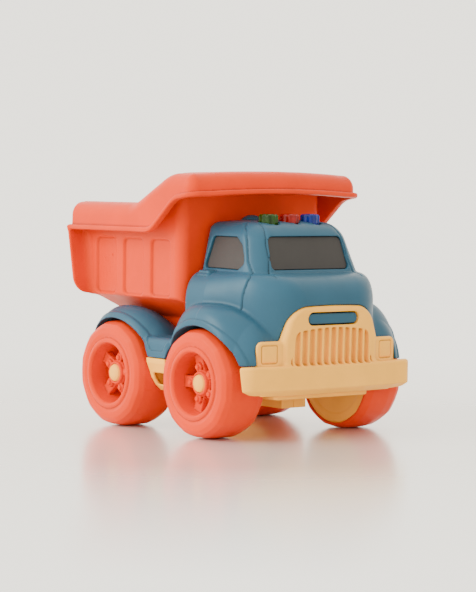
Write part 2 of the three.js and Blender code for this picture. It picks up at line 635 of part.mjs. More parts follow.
/** One wheel: the coral moulding, its cream inner disc and its cream hub cap. */
function makeWheel(name, axleX, side, firstSpoke) {
  const place = [axleX, side * WHEEL_INNER_Y, AXLE_Z];
  let wheel = solid(lathe([...WHEEL_SECTION, WHEEL_SECTION[0]], 22));
  const spokeCount = 5;
  for (let i = 0; i < spokeCount; i += 1) {
    const angle = THREE.MathUtils.degToRad(firstSpoke + (360 * i) / spokeCount);
    const spoke = new THREE.BoxGeometry(SPOKE_TIP - HUB_OUT, SPOKE_OUTER_Y - SPOKE_INNER_Y, SPOKE_WIDTH);
    spoke.translate((SPOKE_TIP + HUB_OUT) / 2, (SPOKE_INNER_Y + SPOKE_OUTER_Y) / 2, 0);
    wheel = wheel.add(solid(spoke.rotateY(angle)));
  }
  const out = side > 0 ? wheel : wheel.rotate([180, 0, 0]);
  piece(`${name}_wheel`, out, CORAL, ...place);
  const disc = [[AXLE_HOLE, 0.6], [34, 0.6], [36.2, 1.6], [36.2, 3.2], [6, 3.2], [AXLE_HOLE, 8], [AXLE_HOLE, 0.6]];
  piece(`${name}_wheel_disc`, latheY(disc, 22, side), CREAM, ...place);
  const cap = [[0, 27], [6.5, 27], [6.6, 29.2], [5.6, 30.6], [3.2, 31.5], [0, 31.8]];
  piece(`${name}_hub_cap`, latheY(cap, 14, side), CREAM, ...place);
}

/** A steel axle through both wheels of a pair. */
function makeAxle(name, x) {
  const tip = AXLE_HALF_LENGTH;
  const points = [[0, -tip], [1, -tip], [AXLE_RADIUS, 0.6 - tip], [AXLE_RADIUS, tip - 0.6], [1, tip], [0, tip]];
  piece(name, lathe(points, 12), STEEL, x, 0, AXLE_Z);
}

// ---------------------------------------------------------------- friction drive

/** A spur gear's outline with slim straight-sided teeth, the first one at the angle phase. */
function gearOutline(teeth, phase, boreRadius) {
  const pitch = (GEAR_MODULE * teeth) / 2;
  const [tip, root] = [pitch + 0.62, pitch - 0.95];
  const step = (2 * Math.PI) / teeth;
  const points = [];
  for (let i = 0; i < teeth; i += 1) {
    const middle = phase + i * step;
    for (const [radius, width] of [[root, -0.95], [tip, -0.28], [tip, 0.28], [root, 0.95]]) {
      const angle = middle + width / pitch;
      points.push([radius * Math.cos(angle), radius * Math.sin(angle)]);
    }
  }
  const shape = outline(points);
  const bore = new THREE.Path();
  bore.absarc(0, 0, boreRadius, 0, 2 * Math.PI);
  shape.holes.push(bore);
  return shape;
}

/** A gear across the truck from y0 to y1, centred on its own axis. */
function gear(teeth, phase, boreRadius, y0, y1) {
  return pushY(gearOutline(teeth, phase, boreRadius), y0, y1, 5);
}

/** The steel pin that a gear pair turns on. */
function pin(radius, half) {
  return lathe([[0, -half], [radius, -half], [radius, half], [0, half]], 10);
}

/** The friction drive: gears, flywheel, shafts and the two halves of their box. */
function makeFrictionDrive() {
  const [shaft, bore] = [1, 1 + GAP];
  const pinionStep = (2 * Math.PI) / PINION_TEETH;
  piece('axle_gear', gear(WHEEL_TEETH, 0, AXLE_HOLE, 3, 6.4), WHITE, FRONT_AXLE_X, 0, AXLE_Z);
  const idler = join(
    gear(PINION_TEETH, pinionStep / 2, bore, 0.5, 6.8),
    gear(WHEEL_TEETH, FLYWHEEL_ANGLE, bore, -2.6, 0.6),
  );
  piece('idler_gear', idler, WHITE, IDLER_X, 0, AXLE_Z);
  piece('idler_pin', pin(shaft, 9.2), STEEL, IDLER_X, 0, AXLE_Z);
  const [discRear, discFront] = [-8.6, -3.4];
  const disc = [[bore, discRear], [FLYWHEEL_RADIUS, discRear], [FLYWHEEL_RADIUS, discFront], [bore, discFront],
    [bore, discRear]];
  piece('flywheel', lathe(disc, 28), STEEL, FLYWHEEL_X, 0, FLYWHEEL_Z);
  const pinionPhase = FLYWHEEL_ANGLE + Math.PI + pinionStep / 2;
  piece('flywheel_pinion', gear(PINION_TEETH, pinionPhase, bore, -3, 3), WHITE, FLYWHEEL_X, 0, FLYWHEEL_Z);
  piece('flywheel_pin', pin(shaft, 9.2), STEEL, FLYWHEEL_X, 0, FLYWHEEL_Z);
  const wall = 1.6;
  const half = cut(
    box(BOX_REAR, BOX_FRONT, GAP / 2, BOX_HALF, BOX_LOW, BOX_HIGH),
    box(BOX_REAR + wall, BOX_FRONT - wall, -1, BOX_HALF - wall, BOX_LOW + wall, BOX_HIGH - wall),
    rodY(AXLE_HOLE, FRONT_AXLE_X, AXLE_Z, 5, 20, 12),
  );
  piece('gearbox_left', half, CREAM);
  piece('gearbox_right', mirrored(half), CREAM);
}

// ---------------------------------------------------------------- dump bed

/** How high the rim stands at a place along the side. */
function rimHeight(x) {
  const [foot, knee, top] = [-33.9, 3.7, 14];
  if (x <= foot) return RIM_LOW;
  if (x <= knee) return RIM_LOW + ((x - foot) / (knee - foot)) * (188 - RIM_LOW);
  return 188 + Math.min((x - knee) / (top - knee), 1) * (RIM_HIGH - 188);
}

/** How high the lower edge of the rolled rim stands at a place along the side. */
function beadHeight(x) {
  const line = [[-130, 147.4], [-11, 147.4], [-4, 148.8], [1.5, 152.6], [11.5, 164.3], [15.5, 168.2],
    [21, 171.2], [30, 172.6], [40, 173.6]];
  const next = line.findIndex(([at]) => at > x);
  const [[x0, z0], [x1, z1]] = [line[next - 1], line[next]];
  return z0 + ((x - x0) / (x1 - x0)) * (z1 - z0);
}

/** The rolled rim's section at one station: foot point, outward direction, top and bead heights. */
function rimSection([x, y, nx, ny, top, low]) {
  const profile = [[-BED_WALL, top], [4, top], [9, top - 2], [12, top - 6.6], [SKIRT, low + 4.4],
    [BEAD, low + 3.4], [BEAD, low], [10.6, low], [9, top - 6.6], [4, top - 2.4], [-BED_WALL, top - 2.4]];
  return profile.map(([d, z]) => new THREE.Vector3(x + nx * d, y + ny * d, z));
}

/** The rolled rim, from the tail on the right, round the canopy, to the tail on the left. */
function rolledRim() {
  const side = [BED_TAIL_X, -34, -11, -4, 3, 7, 11.5, 15.5, 21, 31];
  const stations = side.map((x) => [x, -BED_HALF, 0, -1, rimHeight(x), beadHeight(x)]);
  const cornerSteps = 4;
  const cornerRadius = BEAD + 2;
  const lift = 2.4; // rise of the bead round the corner
  for (let i = 1; i <= cornerSteps; i += 1) {
    const angle = (i / cornerSteps) * (Math.PI / 2);
    const [nx, ny] = [Math.sin(angle), -Math.cos(angle)];
    const [x, y] = [CANOPY_X - 2 + (cornerRadius - BEAD) * nx, 2 - BED_HALF + (cornerRadius - BEAD) * ny];
    stations.push([x, y, nx, ny, RIM_HIGH, 172.8 + (lift * i) / cornerSteps]);
  }
  const crown = (y) => 1 - (y / (BED_HALF - 2)) ** 2;
  for (const y of [-44, -22, 0]) {
    stations.push([CANOPY_X, y, 1, 0, RIM_HIGH + RIM_CROWN * crown(y), 175.2 + 1.6 * crown(y)]);
  }
  const back = stations.slice(0, -1).reverse();
  const left = back.map(([x, y, nx, ny, top, low]) => [x, -y, nx, -ny, top, low]);
  const endPlane = (p) => new THREE.Vector2(p.y, p.z);
  return solid(loft([...stations, ...left].map(rimSection), endPlane));
}

/** The canopy's crowned top between the rolled rims. */
function canopyTop() {
  const rings = [];
  for (let y = -66; y <= 66; y += 22) {
    const top = RIM_HIGH + RIM_CROWN * (1 - (y / 66) ** 2);
    const [rear, front] = [BED_FRONT_X - BED_WALL, CANOPY_X];
    rings.push([[rear, top - 2.4], [front, top - 2.4], [front, top], [rear, top]]
      .map(([x, z]) => new THREE.Vector3(x, y, z)));
  }
  return solid(loft(rings, sidePoint));
}

/** The bed's side view, outer faces or, with the wall taken off, the space inside. */
function bedSideView(wall) {
  const [slopeX, slopeZ] = [12.4, BED_BEND_Z + 0.5 - BED_FLOOR_Z];
  const floor = BED_FLOOR_Z + wall;
  const front = BED_FRONT_X - wall;
  const rampFoot = -85.9 + wall * 0.6;
  if (wall > 0) {
    return outline([[front, 230], [front, floor], [rampFoot, floor],
      [rampFoot - slopeX, floor + slopeZ], [-130, floor + slopeZ], [-130, 230]]);
  }
  const rim = [BED_TAIL_X, -33.9, 3.7, BED_FRONT_X].map((x) => [x, rimHeight(x)]);
  rim[3][1] = RIM_HIGH;
  return outline([...rim, [front, floor], [rampFoot, floor], [rampFoot - slopeX, floor + slopeZ],
    [BED_TAIL_X, 148]]);
}

/** The bed seen from behind, outer faces or the space inside. */
function bedRearView(wall) {
  const half = BED_HALF - wall;
  const foot = BED_FLOOR_HALF - wall * 0.4;
  return outline([[-half, 230], [-half, BED_BEND_Z + wall * 0.4], [-foot, BED_FLOOR_Z + wall],
    [foot, BED_FLOOR_Z + wall], [half, BED_BEND_Z + wall * 0.4], [half, 230]]);
}

/** The flange round the bed's open tail, leaning forward towards its foot. */
function tailFlange() {
  const [low, high] = [BED_BEND_Z, 151];
  const shape = new THREE.Shape();
  shape.moveTo(-84, high);
  shape.lineTo(-84, low + 12);
  shape.absarc(-72, low + 12, 12, Math.PI, 1.5 * Math.PI);
  shape.lineTo(72, low);
  shape.absarc(72, low + 12, 12, 1.5 * Math.PI, 2 * Math.PI);
  shape.lineTo(84, high);
  const lean = outline([[-110, high], [-110, 148], [-99.5, low], [-97, low], [-107.4, 148], [-107.4, high]]);
  const inside = pushX(bedRearView(BED_WALL), -130, -90);
  const sill = midBox(-130, -90, BED_HALF - BED_WALL, 0, BED_BEND_Z + 0.5 + BED_WALL);
  return cut(pushX(shape, -125, -90, 5).intersect(pushY(lean, -90, 90)), cut(inside, sill));
}

/** The coral dump bed with its hinge lugs. */
function makeBed() {
  const outside = pushY(bedSideView(0), -BED_HALF, BED_HALF).intersect(pushX(bedRearView(0), -130, 60));
  const inside = pushY(bedSideView(BED_WALL), -90, 90).intersect(pushX(bedRearView(BED_WALL), -140, 60));
  const frontWallTop = pushX(outline([[-BED_HALF + 2, 186], [BED_HALF - 2, 186], [BED_HALF - 2, RIM_HIGH],
    [0, RIM_HIGH + RIM_CROWN - 0.1], [2 - BED_HALF, RIM_HIGH]]), BED_FRONT_X - BED_WALL, BED_FRONT_X);
  let bed = join(cut(outside, inside), rolledRim(), canopyTop(), frontWallTop, tailFlange());
  for (const [x0, x1] of [[-94.3, -71.3], [-59.3, -37.3], [-23.8, -0.3]]) {
    const panel = pushY(roundedRect((x0 + x1) / 2, 120.5, x1 - x0, 42, 4), BED_HALF - 1.1, BED_HALF + 1, 4);
    bed = cut(bed, bothSides(panel));
  }
  const lug = join(
    box(HINGE_X - 3.6, HINGE_X + 3.6, 29, 33, HINGE_Z, BED_FLOOR_Z + 1),
    box(HINGE_X, HINGE_X + 12, 29, 33, HINGE_Z + 1, BED_FLOOR_Z + 1),
    rodY(3.6, HINGE_X, HINGE_Z, 29, 33, 14),
  );
  bed = cut(join(bed, bothSides(lug)), rodY(HINGE_RADIUS + GAP, HINGE_X, HINGE_Z, -40, 40, 12));
  piece('dump_bed', bed, CORAL);
  const hingePin = lathe([[0, -37.5], [HINGE_RADIUS, -37.5], [HINGE_RADIUS, 37.5], [0, 37.5]], 12);
  piece('bed_hinge_pin', hingePin, STEEL, HINGE_X, 0, HINGE_Z);
}

// ---------------------------------------------------------------- buttons and electronics

/** A scalloped push button with a retaining flange and a stem down to its switch. */
function pushButton() {
  const shape = new THREE.Shape();
  const lobes = 9;
  const stepsPerLobe = 3;
  for (let i = 0; i < lobes * stepsPerLobe; i += 1) {
    const angle = (2 * Math.PI * i) / (lobes * stepsPerLobe);
    const radius = BUTTON_RADIUS - 0.35 + 0.35 * Math.cos(lobes * angle);
    const point = [radius * Math.cos(angle), radius * Math.sin(angle)];
    if (i === 0) shape.moveTo(...point);
    else shape.lineTo(...point);
  }
  const bevel = { depth: 8, bevelEnabled: true, bevelThickness: 1, bevelSize: 1, bevelOffset: -1, bevelSegments: 1 };
  const cap = new THREE.ExtrudeGeometry(shape, bevel).translate(0, 0, -9);
  return join(solid(cap), rodZ(8.6, 0, 0, -9.6, -8.3, 16), rodZ(2, 0, 0, -12.4, -9, 10));
}

const BUTTONS = [['green', -1, 0x5a9a2c], ['red', 0, 0xd8452c], ['blue', 1, 0x2f62b4]];

/** The buttons with the lamps under them, and the board that carries their switches. */
function makeButtons() {
  let board = cut(
    midBox(BUTTON_X - 11, BUTTON_X + 6, 35, BOARD_Z, BOARD_Z + 1.6),
    rodZ(1.1, BUTTON_X, 32, 140, 150, 8),
    rodZ(1.1, BUTTON_X, -32, 140, 150, 8),
  );
  for (const [colour, index, hex] of BUTTONS) {
    const y = index * BUTTON_PITCH;
    piece(`button_${colour}`, pushButton(), { color: hex, roughness: 0.25, metalness: 0 }, BUTTON_X, y, BUTTON_TOP);
    board = join(board, box(BUTTON_X - 3, BUTTON_X + 3, y - 3, y + 3, BOARD_Z + 1, BOARD_Z + 3));
    const lamp = [[0, 0], [1.5, 0], [1.5, 1.6], [1.1, 2.7], [0, 3.1]];
    const place = [BUTTON_X - 5.6, y, BOARD_Z + 1.6 + GAP];
    piece(`lamp_${colour}`, lathe(lamp, 12).rotateX(Math.PI / 2), WHITE, ...place);
  }
  piece('button_board', board, BOARD_GREEN);
}

/** The loudspeaker over its slots in the chassis. */
function makeSpeaker() {
  const section = [[0, 0.8], [4, 0.8], [11, 0.2], [14, 0.2], [14, 2.4], [8.5, 5], [8.5, 9], [0, 9]];
  piece('speaker', lathe(section, 24).rotateX(Math.PI / 2), BLACK, SPEAKER_X, 0, TRAY_BOTTOM + WALL + GAP);
}

/** Three cells, their two contact plates and the door under them. */
function makeBatteries() {
  const cell = [[0, -24.8], [7, -24.8], [7.1, -24], [7.1, 24], [2.8, 24], [2.8, 25], [0, 25]];
  [-38, -22.5, -7].forEach((x, index) => {
    const geometry = lathe(cell, 16);
    if (index === 1) geometry.rotateZ(Math.PI);
    piece(`battery_cell_${index + 1}`, geometry, BLACK, x, 0, 40.2);
  });
  const contact = box(-45.4, 0.4, 25.4, 26, 34, 46.4);
  piece('battery_contact_left', contact, BRASS);
  piece('battery_contact_right', mirrored(contact), BRASS);
  const door = cut(
    join(midBox(-45.6, 0.6, 29.1, TRAY_BOTTOM, 31.5), midBox(0, 8.6, 3.8, TRAY_BOTTOM, 31.5)),
    rodZ(1.2, 6, 0, 20, 40, 8),
  );
  piece('battery_door', door, CREAM);
}

/** The on-off slide switch in the chassis floor. */
function makeSwitch() {
  const can = cut(
    box(-85, -71, SWITCH_Y - 4.4, SWITCH_Y + 4.4, TRAY_BOTTOM + WALL + GAP, 38),
    box(-82.8, -73.2, SWITCH_Y - 1.8, SWITCH_Y + 1.8, 30, 35.5),
  );
  piece('power_switch_body', can, STEEL);
  const knob = box(-82, -78.4, SWITCH_Y - 1.4, SWITCH_Y + 1.4, 28.4, 34.8);
  piece('power_switch_knob', knob, BLACK);
}

/** An insulated wire along its own bends. */
function wire(name, points, material) {
  const path = new THREE.CatmullRomCurve3(points.map((p) => new THREE.Vector3(...p)));
  const section = new THREE.Shape();
  section.absarc(0, 0, 0.8, 0, 2 * Math.PI);
  const options = { steps: 18, curveSegments: 4, bevelEnabled: false, extrudePath: path };
  piece(name, new THREE.ExtrudeGeometry(section, options), material);
}

/** The two wires from the button board, to the battery box and to the speaker. */
function makeWires() {
  const start = BOARD_Z - 1.5;
  wire('battery_wire', [[46, 14, start], [36, 20, 130], [28, 24, 100], [26, 26, 70], [16, 26, 59], [2, 22, 54],
    [-10, 20, 53]], { color: 0xb03028, roughness: 0.5, metalness: 0 });
  wire('speaker_wire', [[46, -14, start], [38, -20, 125], [36, -24, 95], [56, -26, 66], [72, -20, 52],
    [78, -11, 44]], { color: 0x303030, roughness: 0.5, metalness: 0 });
}

makeBody();
makeWindows();
makeFront();
makeChassis();
makeScrews();
const WHEELS = [['front', FRONT_AXLE_X, 36], ['rear', REAR_AXLE_X, 6]]; // and the angle of the first spoke
for (const [end, x, firstSpoke] of WHEELS) {
  makeWheel(`${end}_left`, x, 1, firstSpoke);
  makeWheel(`${end}_right`, x, -1, firstSpoke);
  makeAxle(`${end}_axle`, x);
}
makeFrictionDrive();
makeBed();
makeButtons();
makeSpeaker();
makeBatteries();
makeSwitch();
makeWires();

export default truck;
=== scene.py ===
"""A friction-powered toy dump truck: the moulded pieces, their materials and the studio round them.

Shapes are worked out in millimetres in the truck's own frame (+X forwards, +Y to its left, +Z up)
and become metres when a mesh is made. Moulded pieces are described by distance fields, which give
them the rounded edges and soft fillets of injection moulding; turned pieces are spun from outlines.
"""
import json
import math

import bmesh
import bpy
import numpy as np
from mathutils import Matrix, Vector


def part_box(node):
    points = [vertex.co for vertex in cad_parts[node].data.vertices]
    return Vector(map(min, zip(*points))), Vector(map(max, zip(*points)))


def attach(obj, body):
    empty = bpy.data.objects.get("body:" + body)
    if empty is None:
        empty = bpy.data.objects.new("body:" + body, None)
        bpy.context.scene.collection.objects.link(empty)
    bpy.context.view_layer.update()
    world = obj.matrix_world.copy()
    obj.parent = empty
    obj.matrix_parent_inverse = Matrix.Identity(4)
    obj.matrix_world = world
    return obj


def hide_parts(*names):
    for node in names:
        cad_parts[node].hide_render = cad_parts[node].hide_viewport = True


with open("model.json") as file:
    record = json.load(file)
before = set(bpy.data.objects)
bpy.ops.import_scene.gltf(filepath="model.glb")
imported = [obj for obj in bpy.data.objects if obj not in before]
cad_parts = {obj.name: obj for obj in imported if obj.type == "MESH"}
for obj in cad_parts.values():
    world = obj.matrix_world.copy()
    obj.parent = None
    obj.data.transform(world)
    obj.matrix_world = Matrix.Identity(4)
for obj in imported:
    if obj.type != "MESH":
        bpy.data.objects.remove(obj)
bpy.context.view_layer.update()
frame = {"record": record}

MM = 0.001

# ---------- sizes taken from the frame


def box_mm(node):
    """A node's lowest and highest corners in millimetres."""
    low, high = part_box(node)
    return [v / MM for v in low], [v / MM for v in high]


def middle_mm(node):
    """The middle of a node's box in millimetres."""
    low, high = box_mm(node)
    return [(a + b) / 2 for a, b in zip(low, high)]


FRONT_AXLE_X, _, AXLE_Z = middle_mm("front_axle")
REAR_AXLE_X = middle_mm("rear_axle")[0]
WHEEL_INNER_Y = box_mm("front_left_wheel")[0][1]
BODY_HIGH = box_mm("cab_and_fender_body")[1]
BED_LOW, BED_HIGH = box_mm("dump_bed")
FRONT_LOW, FRONT_HIGH = box_mm("front_bumper_and_grille")
TRAY_LOW, TRAY_HIGH = box_mm("chassis_tray")
GEAR_LOW, GEAR_HIGH = box_mm("gearbox_left")
BUTTON_X = middle_mm("button_red")[0]
BUTTON_PITCH = middle_mm("button_blue")[1]  # the red button stands on the middle line
BUTTON_TOP = box_mm("button_red")[1][2]
HINGE_X, _, HINGE_Z = middle_mm("bed_hinge_pin")

# ---------- distance fields

GAP = 0.35  # air between neighbouring pieces
WALL = 2.5  # moulded wall thickness


def blend_in(a, b, size):
    """The union of two fields with a fillet of about this size where they meet."""
    h = np.clip(0.5 + 0.5 * (b - a) / size, 0, 1)
    return b + (a - b) * h - size * h * (1 - h)


def cut_out(a, b, size=0.01):
    """Field a with b taken away, and the new edge eased by about this size."""
    return -blend_in(-a, b, size)


def rounded(a, b, radius):
    """What is inside both fields, with a round edge where they cross."""
    inner = np.minimum(np.maximum(a, b), -radius)
    return inner + np.hypot(np.maximum(a + radius, 0), np.maximum(b + radius, 0))


def slab(v, low, high):
    """Distance outside the band from low to high."""
    return np.abs(v - (low + high) / 2) - (high - low) / 2


def rounded_rect(u, v, half_u, half_v, radius):
    """A rectangle about the origin with round corners."""
    qu = np.abs(u) - half_u + radius
    qv = np.abs(v) - half_v + radius
    return np.minimum(np.maximum(qu, qv), 0) + np.hypot(np.maximum(qu, 0), np.maximum(qv, 0)) - radius


def round_box(x, y, z, low, high, radius):
    """A box between two corners with round edges."""
    across = rounded_rect(x - (low[0] + high[0]) / 2, y - (low[1] + high[1]) / 2,
                          (high[0] - low[0]) / 2, (high[1] - low[1]) / 2, radius)
    return rounded(across, slab(z, low[2], high[2]), radius)


def polyline_distance(u, v, points):
    """Distance to a line through points in the plane."""
    best = np.full(np.shape(u), 1e3, np.float32)
    for (au, av), (bu, bv) in zip(points, points[1:]):
        du, dv = bu - au, bv - av
        t = np.clip(((u - au) * du + (v - av) * dv) / (du * du + dv * dv), 0, 1)
        best = np.minimum(best, np.hypot(u - au - t * du, v - av - t * dv))
    return best


def polygon(u, v, points):
    """Signed distance to a closed outline in the plane."""
    edge = polyline_distance(u, v, points + points[:1])
    inside = np.zeros(np.shape(u), bool)
    for (au, av), (bu, bv) in zip(points, points[1:] + points[:1]):
        crosses = (av > v) != (bv > v)
        at = au + (v - av) * (bu - au) / ((bv - av) if bv != av else 1)
        inside ^= crosses & (u < at)
    return np.where(inside, -edge, edge)


def dip(distance, depth, width):
    """A soft groove of this depth along a line at this distance."""
    return depth * np.exp(-((distance / width) ** 2))


def plateau(distance, height, ease):
    """A step of this height inside an outline, with its edge eased."""
    return height / (1 + np.exp(np.clip(distance / ease, -30, 30)))


# ---------- from a field to a mesh

BLOCK = 8  # cells along each side of a block
BATCH = 1500  # blocks worked on at once
STEEPEST = 1.35  # how much faster than true distance a field may grow
SLOPE_STEP = 0.05  # how far apart a field is sampled to find its slope
CORNERS = [(i, j, k) for i in (0, 1) for j in (0, 1) for k in (0, 1)]


def near_blocks(field, low, count, size):
    """The blocks that the field's surface may cross."""
    index = np.stack(np.meshgrid(*[np.arange(n) for n in count], indexing="ij"), -1).reshape(-1, 3)
    centre = (low + (index + 0.5) * size).astype(np.float32)
    half_diagonal = 0.95 * size
    return index[np.abs(field(*centre.T)) < half_diagonal * STEEPEST + 0.6]


def cell_points(values, grid, low, cell, span):
    """Surface nets: one point for each cell the surface crosses, with the cell's number."""
    n = BLOCK
    corner = {c: values[:, c[0]:c[0] + n, c[1]:c[1] + n, c[2]:c[2] + n] for c in CORNERS}
    below = sum((corner[c] < 0).astype(np.int8) for c in CORNERS)
    at = np.nonzero((below > 0) & (below < 8))
    picked = {c: corner[c][at] for c in CORNERS}
    total = np.zeros((len(at[0]), 3))
    hits = np.zeros(len(at[0]))
    for a in CORNERS:
        for axis in range(3):
            if a[axis]:
                continue
            b = tuple(1 if i == axis else a[i] for i in range(3))
            va, vb = picked[a], picked[b]
            crossing = (va < 0) != (vb < 0)
            t = np.where(crossing, va / np.where(crossing, va - vb, 1), 0)
            spot = np.repeat(np.array([a], float), len(t), 0)
            spot[:, axis] = t
            total += np.where(crossing[:, None], spot, 0)
            hits += crossing
    cells = grid[at[0]] * n + np.stack(at[1:], -1)
    return low + (cells + total / hits[:, None]) * cell, cells @ span


def cell_faces(values, grid, span):
    """One four-sided face for each grid edge the surface crosses, by its cells' numbers."""
    n = BLOCK
    inside = values < 0
    start = inside[:, :n, :n, :n]
    faces = []
    for axis in range(3):
        step = [slice(0, n)] * 3
        step[axis] = slice(1, n + 1)
        end = inside[:, step[0], step[1], step[2]]
        at = np.nonzero(start != end)
        cells = (grid[at[0]] * n + np.stack(at[1:], -1)) @ span
        du, dv = span[(axis + 1) % 3], span[(axis + 2) % 3]
        quad = np.stack([cells, cells - du, cells - du - dv, cells - dv], -1)
        outward = start[at]
        quad[~outward] = quad[~outward][:, ::-1]
        faces.append(quad)
    return np.concatenate(faces)


def surface(field, low, high, cell):
    """The points and faces of the surface where a field is zero, inside a box."""
    low, high = np.array(low, float) - 2 * cell, np.array(high, float) + 2 * cell
    size = BLOCK * cell
    count = np.ceil((high - low) / size).astype(int)
    span = np.array([count[1] * count[2] * BLOCK * BLOCK, count[2] * BLOCK, 1], np.int64)
    offsets = np.stack(np.meshgrid(*[np.arange(BLOCK + 1)] * 3, indexing="ij"), -1)
    points, numbers, faces = [], [], []
    blocks = near_blocks(field, low, count, size)
    for first in range(0, len(blocks), BATCH):
        grid = blocks[first:first + BATCH]
        at = (low + (grid[:, None, None, None, :] * BLOCK + offsets) * cell).astype(np.float32)
        values = field(at[..., 0], at[..., 1], at[..., 2])
        spots, owners = cell_points(values, grid, low, cell, span)
        points.append(spots)
        numbers.append(owners)
        faces.append(cell_faces(values, grid, span))
    points, numbers, faces = np.concatenate(points), np.concatenate(numbers), np.concatenate(faces)
    order = np.argsort(numbers)
    numbers, points = numbers[order], points[order]
    found = np.minimum(np.searchsorted(numbers, faces), len(numbers) - 1)
    whole = (numbers[found] == faces).all(1)
    return settle(field, points, cell), found[whole]


def settle(field, points, cell):
    """Moves points onto the field's surface along its slope."""
    steps = SLOPE_STEP * np.eye(3, dtype=np.float32)
    for _ in range(2):
        p = points.astype(np.float32)
        here = field(*p.T)
        slope = np.stack([field(*(p + step).T) - here for step in steps], -1) / SLOPE_STEP
        steep = np.maximum((slope ** 2).sum(-1), 0.3)
        move = -(here / steep)[:, None] * slope
        longest = np.maximum(np.linalg.norm(move, axis=1) / (0.6 * cell), 1)
        points = points + move / longest[:, None]
    return points


def mesh_piece(name, points, faces):
    """A smooth-shaded object from points in millimetres."""
    mesh = bpy.data.meshes.new(name)
    mesh.vertices.add(len(points))
    mesh.vertices.foreach_set("co", (np.asarray(points, np.float32) * MM).ravel())
    sides = faces.shape[1]
    mesh.loops.add(faces.size)
    mesh.loops.foreach_set("vertex_index", faces.ravel().astype(np.int32))
    mesh.polygons.add(len(faces))
    mesh.polygons.foreach_set("loop_start", np.arange(0, faces.size, sides, dtype=np.int32))
    mesh.update(calc_edges=True)
    mesh.shade_smooth()
    piece = bpy.data.objects.new(name, mesh)
    bpy.context.scene.collection.objects.link(piece)
    return piece


def moulded(name, field, low, high, cell):
    """A piece moulded to a field."""
    return mesh_piece(name, *surface(field, low, high, cell))


def spun(name, outline, place, side=1, steps=72):
    """A piece turned about the Y axis through place, from points (radius, distance out)."""
    smooth = rounded_outline(outline)
    rings = []
    for i in range(steps):
        angle = 2 * math.pi * i / steps
        for radius, out in smooth:
            rings.append((place[0] + radius * math.cos(angle), place[1] + side * out,
                          place[2] + radius * math.sin(angle)))
    n = len(smooth)
    faces = []
    for i in range(steps):
        for j in range(n - 1):
            a, b = i * n + j, ((i + 1) % steps) * n + j
            faces.append((a, a + 1, b + 1, b) if side < 0 else (a, b, b + 1, a + 1))
    piece = mesh_piece(name, np.array(rings), np.array(faces))
    weld(piece)
    return piece


def rounded_outline(points, ease=0.35, steps=3):
    """An outline with every inner corner eased by a short curve."""
    result = [points[0]]
    for before, here, after in zip(points, points[1:], points[2:]):
        a, b, c = (np.array(p, float) for p in (before, here, after))
        cut_in = min(ease, 0.4 * np.linalg.norm(a - b), 0.4 * np.linalg.norm(c - b))
        start = b + (a - b) / np.linalg.norm(a - b) * cut_in
        end = b + (c - b) / np.linalg.norm(c - b) * cut_in
        for i in range(steps + 1):
            t = i / steps
            result.append(tuple((1 - t) ** 2 * start + 2 * t * (1 - t) * b + t * t * end))
    return result + [points[-1]]


def weld(piece):
    """Merges doubled points and turns every face outwards."""
    work = bmesh.new()
    work.from_mesh(piece.data)
    bmesh.ops.remove_doubles(work, verts=work.verts, dist=0.00001)
    bmesh.ops.recalc_face_normals(work, faces=work.faces)
    work.to_mesh(piece.data)
    work.free()


# ---------- cab, bonnet and fenders

SILL_Z = 55.3  # lower edge of the body
DECK_Z = 70
WAIST_Z = 97  # from here up the bonnet curves in
BELT_Z = 119.5  # foot of the windows
ROOF_Z = 157.5
ROOF_PEAK_X = 42
CAB_REAR_X = 15.2
BELT_FRONT_X = 82.2  # the windscreen's plane at the belt
NOSE_X = BODY_HIGH[0]
FENDER_HALF = 83
SILL_HALF = 79.6
CREST_Y = 66  # line of the fenders' highest points
TUB_Y = 44.95  # inner side of the wheel tubs
ARCH_AHEAD, ARCH_BEHIND = 46.2, 42.4  # the wheel arch opening's reach ahead of the axle and behind it
ARCH_UP = 41.8  # the opening's height over the axle
CAB_FOOT = 52.4  # half width of the cab at the belt
SIDE_SLOPE = 5.5 / 24.5  # how the cab's walls lean in
FRONT_SLOPE = 8.6 / 26.5  # how the windscreen leans back

# A fender's crown over the axle, the drop of its inner side, its edge's radius, and then each half's
# reach, squareness and extra rounding: first the half behind the axle, then the one ahead of it.
FRONT_FENDER = (57, 1, 11, (43, 3.0, 9), (53.6, 2.4, 15))
REAR_FENDER = (51, 9, 16, (49, 2.0, 11), (52.4, 2.2, 5))
LIP_WIDTH = 4.7  # the raised band round the arches and along the sill
LIP_HEIGHT = 0.95


def cab_front_x(z):
    """The windscreen's plane."""
    return BELT_FRONT_X - FRONT_SLOPE * (z - BELT_Z)


def cab_half(z):
    """Half the cab's width above the belt."""
    return CAB_FOOT - SIDE_SLOPE * (z - BELT_Z)


def plan(x, y, rear, front, half, radius):
    """A plan outline with round front corners and small rear ones."""
    middle = (rear + front) / 2
    corner = np.where(x > middle, radius, 6)
    return rounded_rect(x - middle, y, (front - rear) / 2, half, corner)


def cab_top(x, y, z):
    """The cab above the belt."""
    walls = plan(x, y, CAB_REAR_X, cab_front_x(z), cab_half(z), 17) * 0.96
    fall = np.where(x > ROOF_PEAK_X, 0.0042, 0.0006)  # the roof curves down faster towards the windscreen
    crown = z - ROOF_Z + 0.0009 * y * y + fall * (x - ROOF_PEAK_X) ** 2
    edge = 5 + 4 * np.clip((x - CAB_REAR_X) / 15, 0, 1)
    return np.maximum(rounded(walls, crown, edge), BELT_Z - 12 - z)


